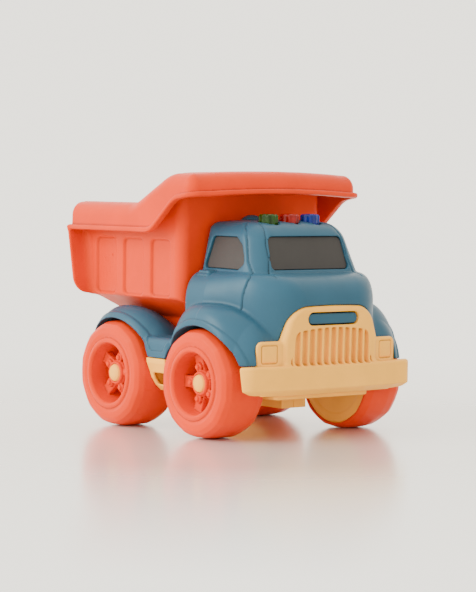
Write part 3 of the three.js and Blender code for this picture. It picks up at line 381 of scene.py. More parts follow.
def bonnet(x, y, z):
    """The cab's shoulders and the bonnet, bulging out below the belt."""
    power = 2.15
    rise = np.clip((z - WAIST_Z) / (BELT_Z - WAIST_Z), 0, 0.995)
    swell = (1 - rise ** power) ** (1 / power)
    taper = np.clip((x - 40) / 65, 0, 1)
    half = CAB_FOOT - 0.6 + (16.2 - 16 * taper) * swell
    front = 81.6 + (NOSE_X - 81.6) * swell
    walls = plan(x, y, CAB_REAR_X, front, half, 17 + 11 * swell)
    steep = 17 * rise / (22 * np.maximum(swell, 0.15))
    return np.maximum(walls / np.sqrt(1 + steep ** 2), z - BELT_Z)


def fender_shape(x, y, z, axle_x, crown, inner_drop, edge, behind, ahead):
    """A fender over one wheel, from the sizes listed above."""
    out = np.abs(y)
    reach, power, extra = (np.where(x < axle_x, b, a) for b, a in zip(behind, ahead))
    along = np.abs(x - axle_x) / reach
    inward = np.clip((CREST_Y - out) / (CREST_Y - TUB_Y), 0, 1.2)
    height = crown - inner_drop * inward ** 2
    up = np.maximum(z - AXLE_Z, 0) / height
    ring = (along ** power + up ** power) ** (1 / power)
    profile = (ring - 1) * (reach + height) * 0.43
    shape = rounded(profile, out - FENDER_HALF, edge + extra * np.minimum(2 * along ** 2, 1))
    return np.maximum(shape, TUB_Y - out)


def arch_ring(x, z, axle_x, grow):
    """Distance outside a wheel arch's outline, grown by this much."""
    a, b = np.where(x < axle_x, ARCH_BEHIND, ARCH_AHEAD) + grow, ARCH_UP + grow
    u, v = (x - axle_x) / a, (z - AXLE_Z) / b
    far = np.sqrt(u * u + v * v)
    steep = np.sqrt((u / a) ** 2 + (v / b) ** 2)
    return far * (far - 1) / np.maximum(steep, 1e-3)


def for_each_axle(make):
    """The nearer of two fields made for the front and rear axles."""
    return np.minimum(make(FRONT_AXLE_X), make(REAR_AXLE_X))


# The door's seam from the roof down, as (x, z), and the windscreen frame's from its foot up, as (|y|, z).
DOOR_SEAM = [(49, 158), (55, 152.5), (59.4, 149.1), (62.6, 143.4), (65.2, 136.3), (68.3, 127.8),
             (74, 119.6), (76.9, 116.3), (76.4, 112), (74.6, 103), (74.2, 96), (74.2, 80)]
SCREEN_SEAM = [(41, 117), (37.7, 129.4), (37.3, 140), (35.6, 147), (32, 156)]
NO_SEAM = 9  # a distance too far away to leave a groove


def cab_seams(x, y, z, shape):
    """The cab with the seams of its doors and of its windscreen frame."""
    out = np.abs(y)
    door = np.where(out > 30, polyline_distance(x, z, DOOR_SEAM), NO_SEAM)
    screen = np.where(x > 60, polyline_distance(out, z, SCREEN_SEAM), NO_SEAM)
    return shape + dip(door, 1.2, 0.6) + dip(screen, 1.1, 0.6)


def raised_lip(x, y, z, shape):
    """The body with the raised band round its wheel arches and along its sill."""
    round_arch = for_each_axle(lambda at: slab(arch_ring(x, z, at, 0), -3, LIP_WIDTH))
    along_sill = rounded(slab(x, -18, 18), slab(z, SILL_Z - 4, SILL_Z + LIP_WIDTH), 0.8)
    band = np.maximum(blend_in(round_arch, along_sill, 1.0), 56 - np.abs(y))
    return blend_in(shape, rounded(shape - LIP_HEIGHT, band, 0.7), 0.25)


def body_outside(x, y, z):
    """The outside of the whole blue body, before anything is cut from it."""
    out = np.abs(y)
    cab = cab_seams(x, y, z, blend_in(cab_top(x, y, z), bonnet(x, y, z), 1.6))
    front = fender_shape(x, y, z, FRONT_AXLE_X, *FRONT_FENDER)
    rear = fender_shape(x, y, z, REAR_AXLE_X, *REAR_FENDER)
    deck = rounded(np.maximum(slab(x, REAR_AXLE_X - 50, 20), z - DECK_Z), out - 47, 2)
    sill = rounded(rounded(slab(x, -17, 17), z - DECK_Z, 3), out - SILL_HALF, 5.5)
    base = blend_in(blend_in(rear, np.minimum(deck, sill), 1.6), front, 1.4)
    shape = raised_lip(x, y, z, blend_in(base, cab, 2.2))
    return np.maximum(shape, SILL_Z - z)


# The side window's outline as (x, z), drawn in by the radius of its corners.
SIDE_GLASS = [(23.8, 125.1), (27, 142.3), (50.5, 142.3), (57, 137.5), (60.6, 130.3), (61.6, 127.2),
              (58.4, 124.8)]
GLASS_CORNER = 3.2
PANE_DEPTH = 2.1  # how far the panes lie under the walls' faces


def window_outlines(x, y, z):
    """Distance outside the side window's and the windscreen's outlines."""
    side = polygon(x, z, SIDE_GLASS) - GLASS_CORNER
    half = 37.3 - (z - 122.7) * 0.1
    screen = rounded(rounded(np.abs(y) - half, z - 146.0, 4), 121.8 - z, 4)
    return side, screen


def window_pockets(x, y, z, inset, shallow, deep):
    """The room for the three panes: outlines drawn in, from one depth to another."""
    side, screen = window_outlines(x, y, z)
    side_depth = (cab_half(z) - np.abs(y)) * 0.976
    front_depth = (cab_front_x(z) - x) * 0.951
    at_side = np.maximum(side + inset, slab(side_depth, shallow, deep))
    at_front = np.maximum(screen + inset, slab(front_depth, shallow, deep))
    return at_side, at_front


def body_details(x, y, z, shape):
    """The body with its door handles and the roof's dome."""
    handle = rounded_rect(x - 29.5, z - 118.8, 6.4, 2.2, 1.6)
    shape = shape - plateau(handle, 1.1, 0.2) * (np.abs(y) > 40)
    dome = np.sqrt((x - 28.7) ** 2 + (y + 14) ** 2 + ((z - 155.4) * 1.5) ** 2) - 8.2
    return blend_in(shape, dome, 1.2)


def front_room(x, y, z, grow):
    """The room that the cream front piece takes in the body, grown by this much."""
    panel = np.minimum(grille_outline(y, z), headlight_outline(y, z))
    return np.maximum(panel - grow, 98 - (grow - GAP) - x)


def button_holes(x, y, z, shape):
    """The roof with three round holes, and wider room under them for the buttons' flanges."""
    for index in (-1, 0, 1):
        around = np.hypot(x - BUTTON_X, y - index * BUTTON_PITCH)
        shape = cut_out(shape, np.maximum(around - 7.75, 150 - z), 0.3)
        shape = np.maximum(shape, -np.maximum(around - 9.2, slab(z, 146, 154.5)))
    return shape


def with_pin_hole(lug, x, z):
    """A hinge lug with the hole for the bed's pin."""
    return np.maximum(lug, 1.95 - np.hypot(x - HINGE_X, z - HINGE_Z))


def deck_fittings(x, y, z, shape):
    """The body with the bed's hinge lugs and the two pads that the bed rests on."""
    out = np.abs(y)
    foot = np.maximum(slab(x, HINGE_X - 5, HINGE_X + 5), slab(z, 68, HINGE_Z))
    lug = np.minimum(np.hypot(x - HINGE_X, z - HINGE_Z) - 5, foot)
    lug = with_pin_hole(rounded(lug, slab(out, 33.4, 36.4), 0.5), x, z)
    pads = round_box(x, out, z, (-24, 14, 68), (-4, 22, 81.65), 1.2)
    return blend_in(np.minimum(shape, lug), pads, 1.2)


def body_field(x, y, z):
    """The blue body: a thin moulding, open underneath, with everything cut from it."""
    out = np.abs(y)
    outside = body_outside(x, y, z)
    tub = for_each_axle(lambda at: np.maximum(arch_ring(x, z, at, WALL), TUB_Y - out))
    hollow = outside + np.where(z > BELT_Z, WALL + 1.5, WALL)
    hollow = np.maximum(np.maximum(hollow, -tub), -front_room(x, y, z, GAP + WALL))
    shape = np.maximum(body_details(x, y, z, outside), -hollow)
    well = for_each_axle(lambda at: np.maximum(arch_ring(x, z, at, 0), TUB_Y + WALL - out))
    shape = cut_out(shape, well, 0.5)
    for pocket in window_pockets(x, y, z, 0, -6, PANE_DEPTH + 0.9):
        shape = cut_out(shape, pocket, 0.6)
    shape = button_holes(x, y, z, shape)
    shape = cut_out(shape, front_room(x, y, z, GAP), 0.5)
    badge_face = slab(x, 96, 106.4 - 0.0012 * y * y)
    badge = rounded(rounded_rect(y, z - SLOT_Z, 23.3, 3.8, 3.8), badge_face, 0.9)
    return deck_fittings(x, y, z, np.minimum(shape, badge))


# ---------- front moulding

SLOT_Z = 87.8  # the long slot over the grille, which the body's badge fills
FRONT_BACK_X = 98.35  # back of the grille panel and of the headlight blocks
BUMPER_LOW, BUMPER_HIGH = 33.2, 55
FLUTE_PITCH = 6.6


def grille_outline(y, z):
    """The grille panel's front outline, without its foot."""
    flank = (np.abs(y) - 44.4 + 0.34 * np.maximum(z - 73, 0)) * 0.95
    return rounded(flank, z - 97.1 + 0.0007 * y * y, 11.5)


def headlight_outline(y, z):
    """The outline of both headlight blocks."""
    return rounded(np.abs(y) - 66.2, z - 72.4, 5)


def front_face_x(y, z):
    """How far forward the grille panel's face stands."""
    return 106.6 + 0.028 * (z - 56) - 2.0 * (y / 46) ** 2


def bumper_front_x(y):
    """How far forward the bowed bumper stands."""
    return FRONT_HIGH[0] - 5.5 * (y / FRONT_HIGH[1]) ** 2


def bumper_field(x, y, z):
    """The bumper: a hollow bar with round ends, its lower edge cut back."""
    out = np.abs(y)
    bar = rounded(x - bumper_front_x(y), out - FRONT_HIGH[1] + 0.7, 11)
    undercut = (bar + (37.8 - z) * 1.5) * 0.56
    bar = rounded(rounded(bar, z - BUMPER_HIGH, 2.2), undercut, 0.5)
    bar = rounded(bar, BUMPER_LOW - z, 0.8)
    bar = np.maximum(bar, -(bar + WALL))
    end_x = 98.4 + (53.6 - z) * 0.12
    return rounded(bar, np.where(out > 60, end_x, FRONT_LOW[0]) - x, 0.8)


def grille_panel(x, y, z):
    """The grille panel with its long slot."""
    face = x - front_face_x(y, z)
    panel = rounded(np.maximum(grille_outline(y, z), 50 - z), face, 3.4)
    panel = np.maximum(panel, FRONT_BACK_X - x)
    slot = rounded_rect(y, z - SLOT_Z, 24.25, 4.75, 4.7)
    return cut_out(panel, slot, 0.6)


def grille_flutes(x, y, z):
    """The row of upright flutes sunk in the grille."""
    half = 38.8 - 0.2 * (z - 56)
    area = rounded(rounded(np.abs(y) - half, z - 81.4 + 0.0024 * y * y, 4), 54.4 - z, 2)
    across = np.abs((y + 10.5 * FLUTE_PITCH) % FLUTE_PITCH - FLUTE_PITCH / 2)
    flute = rounded(across - 2.35, front_face_x(y, z) - 4.2 - x, 1.8)
    return rounded(flute, area, 1.2)


def headlight_blocks(x, y, z):
    """The two headlight blocks, with a square line pressed into each."""
    out = np.abs(y)
    face = x - (102.6 - 0.0072 * (out - 46) ** 2)
    block = rounded(np.maximum(headlight_outline(y, z), 50 - z), face, 1.8)
    block = np.maximum(block, FRONT_BACK_X - x)
    lens = rounded_rect(out - 55.4, z - 63.2, 6.5, 6.4, 1.6)
    return block + dip(lens, 1.0, 0.6)


def front_field(x, y, z):
    """The cream front: bumper, headlight blocks and grille panel in one moulding."""
    shape = blend_in(bumper_field(x, y, z), grille_panel(x, y, z), 3.5)
    shape = blend_in(shape, headlight_blocks(x, y, z), 1.4)
    return cut_out(shape, grille_flutes(x, y, z), 0.45)


# ---------- dump bed

BED_HALF = 68
BED_WALL = 2.4
BED_FRONT_X = 13.2
BED_FLOOR_Z = 82
TAIL_FLOOR_Z = 99  # the floor's height once it has ramped up to the tail
TAIL_X = BED_LOW[0] + 1.4
TAIL_LEAN = 0.195
RIM_LOW, RIM_HIGH = 168.5, 191
RIM_REACH = 13.9  # how far the rolled rim stands out from the walls
RIM_WALL = 2.3
PANELS = ((-94, -69), (-58.8, -34), (-24, -0.5))  # sunk panels along each side
PANEL_DEPTH = 1.9
CANOPY_X = BED_HIGH[0] - 16


def lower_of(a, b, size):
    """The lower of two heights, with a soft change from one to the other."""
    return blend_in(a, b, size)


def higher_of(a, b, size):
    """The higher of two heights, with a soft change from one to the other."""
    return -blend_in(-a, -b, size)


def rim_height(x, y):
    """How high the rim stands: low along the rear, sloping up, and crowned over the cab."""
    slope = (188 - RIM_LOW) / (3.7 + 33.9)
    climb = RIM_LOW + (x + 33.9) * slope
    top = RIM_HIGH + 2.2 * (1 - np.clip(y / 70, -1, 1) ** 2) * np.clip((x - 2) / 12, 0, 1)
    return lower_of(higher_of(RIM_LOW, climb, 3.5), top, 3.5)


def bead_height(x, y):
    """How high the lower edge of the rolled rim stands."""
    climb = 152 + x * 0.84
    crown = 1.6 * (1 - np.clip(y / 66, -1, 1) ** 2)
    roof = 171.9 + 0.07 * (x - 20) + crown + 1.2 * np.clip((x - 30) / 16, 0, 1)
    return lower_of(higher_of(147.4, climb, 5), roof, 5)


def wall_plan(x, y):
    """Distance outwards from the line the rim is rolled from; the canopy's front is bowed."""
    bowed = x + 6 * (y / 84) ** 2
    length = 300  # far past the open tail, which is cut off later
    outline = rounded_rect(bowed - CANOPY_X + length, y, length + RIM_REACH, BED_HALF + RIM_REACH, 9)
    return outline + RIM_REACH


def rim_field(x, y, z):
    """The rolled rim, its bead and the canopy's top."""
    out = wall_plan(x, y)
    top = rim_height(x, y)
    low = bead_height(x, y)
    end = TAIL_X - 1.4 - x
    flare = 12.2 + 0.02 * np.clip(top - z, 0, 40)
    roll = rounded(rounded(out - flare, (z - top) * 0.93, 9.5), end, 1.2)
    skin = np.maximum(np.maximum(roll, -(roll + RIM_WALL)), low - z)
    bead = rounded_rect(out - RIM_REACH, z - low - 1.8, 2.1, 1.8, 1.3)
    skin = np.maximum(blend_in(skin, bead, 1.0), end)
    inner = np.where(x > BED_FRONT_X - BED_WALL, -1, -BED_WALL - out)
    return np.maximum(skin, inner)


def hopper(x, y, z, wall):
    """The bed's outer faces or, with the wall taken off, the space inside."""
    out = np.abs(y)
    sunk = 0
    for start, end in PANELS:
        panel = rounded_rect(x - (start + end) / 2, z - 120.6, (end - start) / 2, 21.4, 4)
        sunk = sunk + plateau(panel, PANEL_DEPTH, 0.3)
    on_side = x < 8  # the front wall has no panels
    sides = rounded(out - BED_HALF + wall + sunk * on_side, x - BED_FRONT_X + wall, 8 - wall)
    side_slope, ramp_slope = 16.5 / 28, 1.37
    taper = (BED_FLOOR_Z + wall * 1.16 + (out - 40) * side_slope - z) / math.hypot(1, side_slope)
    floor = BED_FLOOR_Z + wall - z
    ramp = (BED_FLOOR_Z + wall * 1.7 - (x + 85.9) * ramp_slope - z) / math.hypot(1, ramp_slope)
    tail_floor = TAIL_FLOOR_Z + wall - z
    under = rounded(rounded(taper, floor, 3), np.minimum(ramp, tail_floor), 2)
    return rounded(sides, under, 1.5)


def tail_flange(x, y, z):
    """The leaning flange round the bed's open tail."""
    lean = np.maximum(z - 98.4, 0) * TAIL_LEAN
    plate = slab(x, -101.2 - lean, -98.8 - lean)
    flange = rounded(plate, rounded(np.abs(y) - 84, 98.4 - z, 12), 1.0)
    return np.maximum(flange, z - 149.5)


def bed_lugs(x, y, z):
    """The bed's two hinge lugs."""
    arm = rounded_rect(x - HINGE_X - 4, z - 80, 7.6, 3.6, 1)
    outline = np.minimum(np.hypot(x - HINGE_X, z - HINGE_Z) - 3.6, arm)
    return with_pin_hole(rounded(outline, slab(np.abs(y), 29, 33), 0.5), x, z)


def bed_field(x, y, z):
    """The coral dump bed in one moulding."""
    tail = np.maximum(-98.8 - np.maximum(z - 99, 0) * TAIL_LEAN - x, TAIL_X - x)
    box = blend_in(np.maximum(hopper(x, y, z, 0), tail), tail_flange(x, y, z), 7)
    keel = round_box(x, np.abs(y), z, (-52, 37.4, DECK_Z + 2), (BED_FRONT_X - 4, 40, 84), 1.5)
    box = blend_in(box, keel, 3)
    walls = np.maximum(box, -hopper(x, y, z, BED_WALL))
    walls = np.maximum(walls, z - rim_height(x, y) + 0.4)
    shape = blend_in(walls, rim_field(x, y, z), 2.4)
    return np.minimum(shape, bed_lugs(x, y, z))


# ---------- chassis

# The step's outline seen along the truck, as (|y|, z).
STEP_OUTLINE = [(42, 54.7), (80, 54.7), (79.6, 51), (77.6, 46.5), (75, 39.5), (71, 33.8), (66, 29.5),
                (42, 29.5)]
TRAY_HALF = 44.6
TRAY_BASE, TRAY_TOP = TRAY_LOW[2], TRAY_HIGH[2]
SPEAKER_X = 78
SLOT_PITCH = 4.4
SCREW_SPOTS = ((80, 31), (7, 37), (-80, 26))
FLOOR_CUT_Z = 33  # cuts through the tray's floor reach up to here


def side_steps(x, y, z, shape):
    """The tray with the curved hollow step on each side, which has a window in its face."""
    out = np.abs(y)
    outline = polygon(out, z, STEP_OUTLINE)
    step = rounded(outline, slab(x, -12.8, 10.2), 1.2)
    room = np.maximum(np.maximum(outline + 2.3, slab(x, -10.4, 7.8)), 30 - out)
    step = np.maximum(np.maximum(step, -room), z - TRAY_TOP)
    window = rounded(slab(x, -8.6, 6), slab(z, 34.5, 43.6), 1.5)
    step = cut_out(step, np.maximum(window, 60 - out), 0.5)
    return blend_in(np.maximum(shape, -room), step, 1.2)


def battery_bay(x, y, z, shape):
    """The tray with the battery bay, the post of its door's screw and the tongue's notch."""
    out = np.abs(y)
    bay = np.maximum(rounded(slab(x, -48.5, 3.5), out - 32, 1), slab(z, TRAY_BASE, 50.5))
    inside = np.maximum(np.maximum(slab(x, -46, 1), out - 29.5), slab(z, 20, 48.2))
    shape = np.maximum(np.minimum(shape, bay), -inside)
    around = np.hypot(x - 6, y)
    shape = np.minimum(shape, np.maximum(around - 3.6, slab(z, TRAY_BASE, 44)))
    tongue = np.maximum(np.maximum(slab(x, -1, 9), out - 4.2), z - 31.9)
    shape = np.maximum(shape, -tongue)
    return np.maximum(shape, -np.maximum(around - 1.2, slab(z, 20, 42)))


def floor_openings(x, y, z, shape):
    """The tray with the gearbox's mouth, the switch's slot and the loudspeaker's slots in its floor."""
    wide = slab(x, GEAR_LOW[0] - GAP, GEAR_HIGH[0] + GAP)
    mouth = rounded(wide, np.abs(y) - GEAR_HIGH[1] - GAP, 0.6)
    switch = rounded_rect(x + 78, y - 12, 5, 2, 0.8)
    across = np.abs((x - SPEAKER_X + 10.5 * SLOT_PITCH) % SLOT_PITCH - SLOT_PITCH / 2)
    slots = np.maximum(rounded(across - 1, np.abs(y) - 8, 0.8), np.abs(x - SPEAKER_X) - 10.5)
    for opening, ease in ((mouth, 0.4), (switch, 0.4), (slots, 0.3)):
        shape = cut_out(shape, np.maximum(opening, z - FLOOR_CUT_Z), ease)
    return shape


def screw_pillars(x, y, z, shape):
    """The tray with six pillars for the chassis screws, sunk for their heads."""
    for at_x, at_y in SCREW_SPOTS:
        around = np.hypot(x - at_x, np.abs(y) - at_y)
        pillar = np.maximum(around - 6, slab(z, TRAY_BASE, 37))
        shape = blend_in(shape, pillar, 0.8)
        shape = cut_out(shape, np.maximum(around - 4, z - 35), 0.4)
        shape = np.maximum(shape, -np.maximum(around - 1.9, slab(z, 20, 44)))
    return shape


def axle_bearings(x, y, z, shape):
    """The tray with a bearing on each side for both axles."""
    out = np.abs(y)
    for at in (FRONT_AXLE_X, REAR_AXLE_X):
        around = np.hypot(x - at, z - AXLE_Z)
        shape = np.minimum(shape, np.maximum(around - 5.5, slab(out, 38, TRAY_HALF)))
        shape = np.maximum(shape, -np.maximum(around - 1.85, slab(out, 30, 60)))
    return shape


def chassis_field(x, y, z):
    """The cream chassis tray, with a curved step between the wheels on each side."""
    across = rounded(slab(x, TRAY_LOW[0], TRAY_HIGH[0]), np.abs(y) - TRAY_HALF, 3)
    shape = rounded(across, slab(z, TRAY_BASE, TRAY_TOP + 9), 1.6)
    shape = np.maximum(shape, z - TRAY_TOP)
    shape = np.maximum(shape, -np.maximum(across + WALL, TRAY_BASE + WALL - z))
    for add in (side_steps, battery_bay, floor_openings, screw_pillars, axle_bearings):
        shape = add(x, y, z, shape)
    return shape


# ---------- wheels

# Outlines as (radius, distance out from the wheel's inner face).
TYRE = [(37, 0), (38.2, 0.6), (39.8, 6), (39.9, 22), (39.0, 29.5), (37.2, 33.4), (34.2, 35.4), (30, 35.9),
        (26.6, 35.0), (25.8, 36.2), (23.8, 36.4), (22.7, 35), (21.2, 13.4), (8.4, 12.4), (8.4, 28.6),
        (7.7, 29.3), (7.0, 29.3), (7.0, 26.6), (1.9, 26.6), (1.9, 9.6), (18.4, 10.2), (18.4, 4.2),
        (36.5, 4.2), (36.5, 0)]
INNER_DISC = [(1.9, 0.6), (7, 0.6), (9, 1.1), (28, 1.1), (30, 0.6), (35.2, 0.6), (36.2, 1.6), (36.2, 3.2),
              (6, 3.2), (5, 8), (1.9, 8), (1.9, 0.6)]
HUB_CAP = [(0, 27), (6.5, 27), (6.6, 29.0), (5.9, 30.3), (4.2, 31.2), (2.2, 31.7), (0, 31.8)]
SPOKES = 5
FIRST_SPOKE = {"front": 36, "rear": 6}  # degrees, as the wheels stand in the photo
NUT_RADIUS = 12  # how far out along its spoke each nut sits
FACETS = 12


def faceted(radius, angle, y):
    """The radius with the tyre's shoulder flattened into facets."""
    turn = 2 * math.pi / FACETS
    wrapped = (angle + turn / 2) % turn - turn / 2
    flat = 1 / np.cos(wrapped) - 1
    shoulder = np.clip(np.abs(y - 16) / 14, 0.25, 1) * np.clip((radius - 28) / 9, 0, 1)
    return radius + 15 * (1 / math.cos(turn / 2) - 1 - flat) * shoulder


def spoke_field(along, aside, y):
    """One spoke with its gusset, nut and stud; along and aside are measured from the wheel's middle."""
    spoke = rounded(rounded(np.abs(aside) - 4.3, slab(along, 5, 22), 0.7), slab(y, 20.5, 25.4), 0.7)
    sixth = math.pi / 3
    nut_angle = (np.arctan2(aside, along - NUT_RADIUS) + sixth / 2) % sixth - sixth / 2
    nut_far = np.hypot(aside, along - NUT_RADIUS)
    nut = rounded(nut_far * np.cos(nut_angle) - 3.1, slab(y, 22, 27.6), 0.4)
    stud = rounded(nut_far - 1.9, slab(y, 22, 29.2), 0.8)
    gusset = rounded(np.abs(aside) - 2.4, slab(along, 6, 11), 0.6)
    gusset = rounded(gusset, slab(y, 20, 27.4), 0.6)
    return blend_in(blend_in(spoke, gusset, 0.5), blend_in(nut, stud, 0.4), 0.5)


def wheel_field(first_spoke):
    """A wheel about the Y axis, measured out from its inner face."""
    def field(x, y, z):
        radius = np.hypot(x, z)
        angle = np.arctan2(z, x)
        tyre = polygon(faceted(radius, angle, y), y, TYRE) - 0.3
        sector = 2 * math.pi / SPOKES
        around = (angle - math.radians(first_spoke) + sector / 2) % sector - sector / 2
        spokes = spoke_field(radius * np.cos(around), radius * np.sin(around), y)
        collar = rounded(radius - 9.6, slab(y, 10, 27), 0.8)
        shape = blend_in(blend_in(tyre, collar, 0.6), spokes, 0.8)
        socket = np.maximum(radius - 6.9, 26.8 - y)
        bore = np.maximum(radius - 1.9, y - 27)
        return np.maximum(np.maximum(shape, -socket), -bore)
    return field


# ---------- push buttons

SCALLOPS = 9


def button_field(x, y, z):
    """A scalloped push button about the Z axis, its top at zero."""
    radius = np.hypot(x, y)
    edge = 6.85 + 0.42 * np.cos(SCALLOPS * np.arctan2(y, x))
    crown = z + 0.012 * radius ** 2
    cap = rounded((radius - edge) * 0.93, crown, 1.5)
    cap = np.maximum(cap, -9 - z)
    flange = rounded(radius - 8.6, slab(z, -9.6, -8.3), 0.3)
    stem = rounded(radius - 2, slab(z, -12.4, -8.5), 0.3)
    return blend_in(blend_in(cap, flange, 0.4), stem, 0.4)


# ---------- materials

CORAL = (0.86, 0.222, 0.05)
BLUE = (0.168, 0.318, 0.402)
CREAM = (0.98, 0.705, 0.27)
PANE_GREY = (0.225, 0.218, 0.218)
BUTTON_GREEN = (0.10, 0.24, 0.012)
BUTTON_RED = (0.50, 0.05, 0.02)
BUTTON_BLUE = (0.05, 0.13, 0.42)
SOFT_GLOSS = 0.22  # low, so that highlights do not wash the colours out


def linear(colour):
    """A screen colour as linear light."""
    return tuple(c / 12.92 if c <= 0.04045 else ((c + 0.055) / 1.055) ** 2.4 for c in colour) + (1.0,)


class Shader:
    """A Principled material with short ways to add and link nodes."""

    def __init__(self, name, colour, roughness, metallic=0.0):
        self.material = bpy.data.materials.new(name)
        self.material.use_nodes = True
        self.tree = self.material.node_tree
        self.main = self.tree.nodes["Principled BSDF"]
        self.main.inputs["Base Color"].default_value = linear(colour)
        self.main.inputs["Roughness"].default_value = roughness
        self.main.inputs["Metallic"].default_value = metallic
        self.coords = self.add("ShaderNodeTexCoord").outputs["Object"]

    def add(self, kind, **settings):
        """A new node with these settings."""
        node = self.tree.nodes.new(kind)
        for key, value in settings.items():
            setattr(node, key, value)
        return node

    def link(self, source, target):
        """A link from one socket to another."""
        self.tree.links.new(source, target)

    def noise(self, scale, detail=3.0, roughness=0.5, stretch=None):
        """A noise value at a scale in cycles per metre."""
        node = self.add("ShaderNodeTexNoise")
        node.inputs["Scale"].default_value = scale
        node.inputs["Detail"].default_value = detail
        node.inputs["Roughness"].default_value = roughness
        source = self.coords
        if stretch:
            mapping = self.add("ShaderNodeMapping")
            mapping.inputs["Scale"].default_value = stretch
            self.link(self.coords, mapping.inputs["Vector"])
            source = mapping.outputs["Vector"]
        self.link(source, node.inputs["Vector"])
        return node.outputs["Fac"]

    def span(self, value, low, high, from_low=0.3, from_high=0.7):
        """A value spread over a new range."""
        node = self.add("ShaderNodeMapRange")
        node.inputs["From Min"].default_value = from_low
        node.inputs["From Max"].default_value = from_high
        node.inputs["To Min"].default_value = low
        node.inputs["To Max"].default_value = high
        self.link(value, node.inputs["Value"])
        return node.outputs["Result"]

    def vary(self, colour_a, colour_b, factor):
        """The base colour mixed between two by a factor."""
        node = self.add("ShaderNodeMix", data_type="RGBA")
        node.inputs["A"].default_value = linear(colour_a)
        node.inputs["B"].default_value = linear(colour_b)
        self.link(factor, node.inputs["Factor"])
        self.link(node.outputs["Result"], self.main.inputs["Base Color"])
        return node.outputs["Result"]

    def paint_shade_in_creases(self, depth):
        """Paints shade into the colour in seams and tight inner corners, darker the more hollow the
        surface is.
        """
        before = self.main.inputs["Base Color"].links[0].from_socket
        hollow = self.add("ShaderNodeNewGeometry").outputs["Pointiness"]
        mix = self.add("ShaderNodeMix", data_type="RGBA", blend_type="MULTIPLY")
        mix.inputs["B"].default_value = (depth, depth, depth, 1)
        self.link(self.span(hollow, 1.0, 0.0, 0.43, 0.49), mix.inputs["Factor"])
        self.link(before, mix.inputs["A"])
        self.link(mix.outputs["Result"], self.main.inputs["Base Color"])

    def bump(self, height, strength, distance):
        """Fine relief, after any there is already."""
        node = self.add("ShaderNodeBump")
        node.inputs["Strength"].default_value = strength
        node.inputs["Distance"].default_value = distance
        self.link(height, node.inputs["Height"])
        before = self.main.inputs["Normal"]
        if before.is_linked:
            self.link(before.links[0].from_socket, node.inputs["Normal"])
        self.link(node.outputs["Normal"], before)


def lighter(colour, amount):
    """A colour made lighter, or darker by a negative amount."""
    return tuple(min(c * (1 + amount), 1) for c in colour)


def moulded_plastic(name, colour, roughness, sheen=(1, 1, 1), grain=1.0):
    """Satin moulded plastic: faint cloudy tone, painted shade in its creases, fine mould grain and
    uneven, tinted gloss.
    """
    shader = Shader(name, colour, roughness)
    shader.main.inputs["Specular IOR Level"].default_value = SOFT_GLOSS
    shader.main.inputs["Specular Tint"].default_value = sheen + (1,)
    cloud = shader.noise(28, 4, 0.55)
    shader.vary(lighter(colour, -0.035), lighter(colour, 0.03), shader.span(cloud, 0, 1))
    # painted shade: seams and tight inner corners darkened in the colour itself
    shader.paint_shade_in_creases(0.35)
    gloss = shader.noise(90, 5, 0.6)
    shader.link(shader.span(gloss, roughness - 0.05, roughness + 0.07), shader.main.inputs["Roughness"])
    shader.bump(shader.noise(2600, 2, 0.6), 0.16 * grain, 0.00006)
    shader.bump(shader.noise(60, 2, 0.5), 0.05, 0.0006)
    return shader.material


def tinted_plastic(name, colour):
    """Glossy tinted plastic, cloudy from the light that scatters inside it."""
    shader = Shader(name, colour, 0.2)
    shader.main.inputs["Specular IOR Level"].default_value = SOFT_GLOSS
    cloud = shader.noise(160, 3, 0.5)
    shader.vary(lighter(colour, -0.25), lighter(colour, 0.25), shader.span(cloud, 0, 1))
    shader.main.inputs["Subsurface Weight"].default_value = 0.12
    shader.main.inputs["Subsurface Radius"].default_value = (1, 1, 1)
    shader.main.inputs["Subsurface Scale"].default_value = 0.002
    shader.main.inputs["Coat Weight"].default_value = 0.08
    shader.main.inputs["Coat Roughness"].default_value = 0.06
    return shader.material


def metal(name, colour, roughness, along=(1, 1, 1)):
    """Plated metal with fine drawn lines."""
    shader = Shader(name, colour, roughness, 1.0)
    lines = shader.noise(900, 4, 0.6, along)
    shader.link(shader.span(lines, roughness - 0.08, roughness + 0.12), shader.main.inputs["Roughness"])
    shader.vary(lighter(colour, -0.12), lighter(colour, 0.05), shader.noise(220, 3))
    shader.bump(lines, 0.1, 0.00005)
    return shader.material


def make_materials():
    """One material for each slot of the record."""
    return {
        "coral_plastic": moulded_plastic("coral_plastic", CORAL, 0.38, (1, 0.4, 0.2)),
        "blue_plastic": moulded_plastic("blue_plastic", BLUE, 0.36, (0.8, 0.95, 1)),
        "cream_plastic": moulded_plastic("cream_plastic", CREAM, 0.42, (1, 0.8, 0.5)),
        "grey_glazing": moulded_plastic("grey_glazing", PANE_GREY, 0.5, (1, 0.95, 0.9), 1.6),
        "white_nylon": moulded_plastic("white_nylon", (0.88, 0.87, 0.83), 0.5),
        "black_plastic": moulded_plastic("black_plastic", (0.07, 0.07, 0.08), 0.5),
        "button_green": tinted_plastic("button_green", BUTTON_GREEN),
        "button_red": tinted_plastic("button_red", BUTTON_RED),
        "button_blue": tinted_plastic("button_blue", BUTTON_BLUE),
        "circuit_board": moulded_plastic("circuit_board", (0.12, 0.34, 0.19), 0.35),
        "lamp_resin": tinted_plastic("lamp_resin", (0.85, 0.85, 0.80)),
        "battery_sleeve": moulded_plastic("battery_sleeve", (0.12, 0.12, 0.14), 0.3),
        "contact_metal": metal("contact_metal", (0.80, 0.70, 0.42), 0.3),
        "red_wire": moulded_plastic("red_wire", (0.68, 0.13, 0.11), 0.45),
        "black_wire": moulded_plastic("black_wire", (0.10, 0.10, 0.10), 0.45),
        "steel": metal("steel", (0.74, 0.74, 0.75), 0.28, (1, 1, 0.1)),
    }


# ---------- putting it together


RECORD = frame["record"]
BODY_OF = {node: body for body, nodes in RECORD["behaviour"]["bodies"].items() for node in nodes}
SLOT_OF = {row["node"]: row["material_slot"] for row in RECORD["subparts"]}


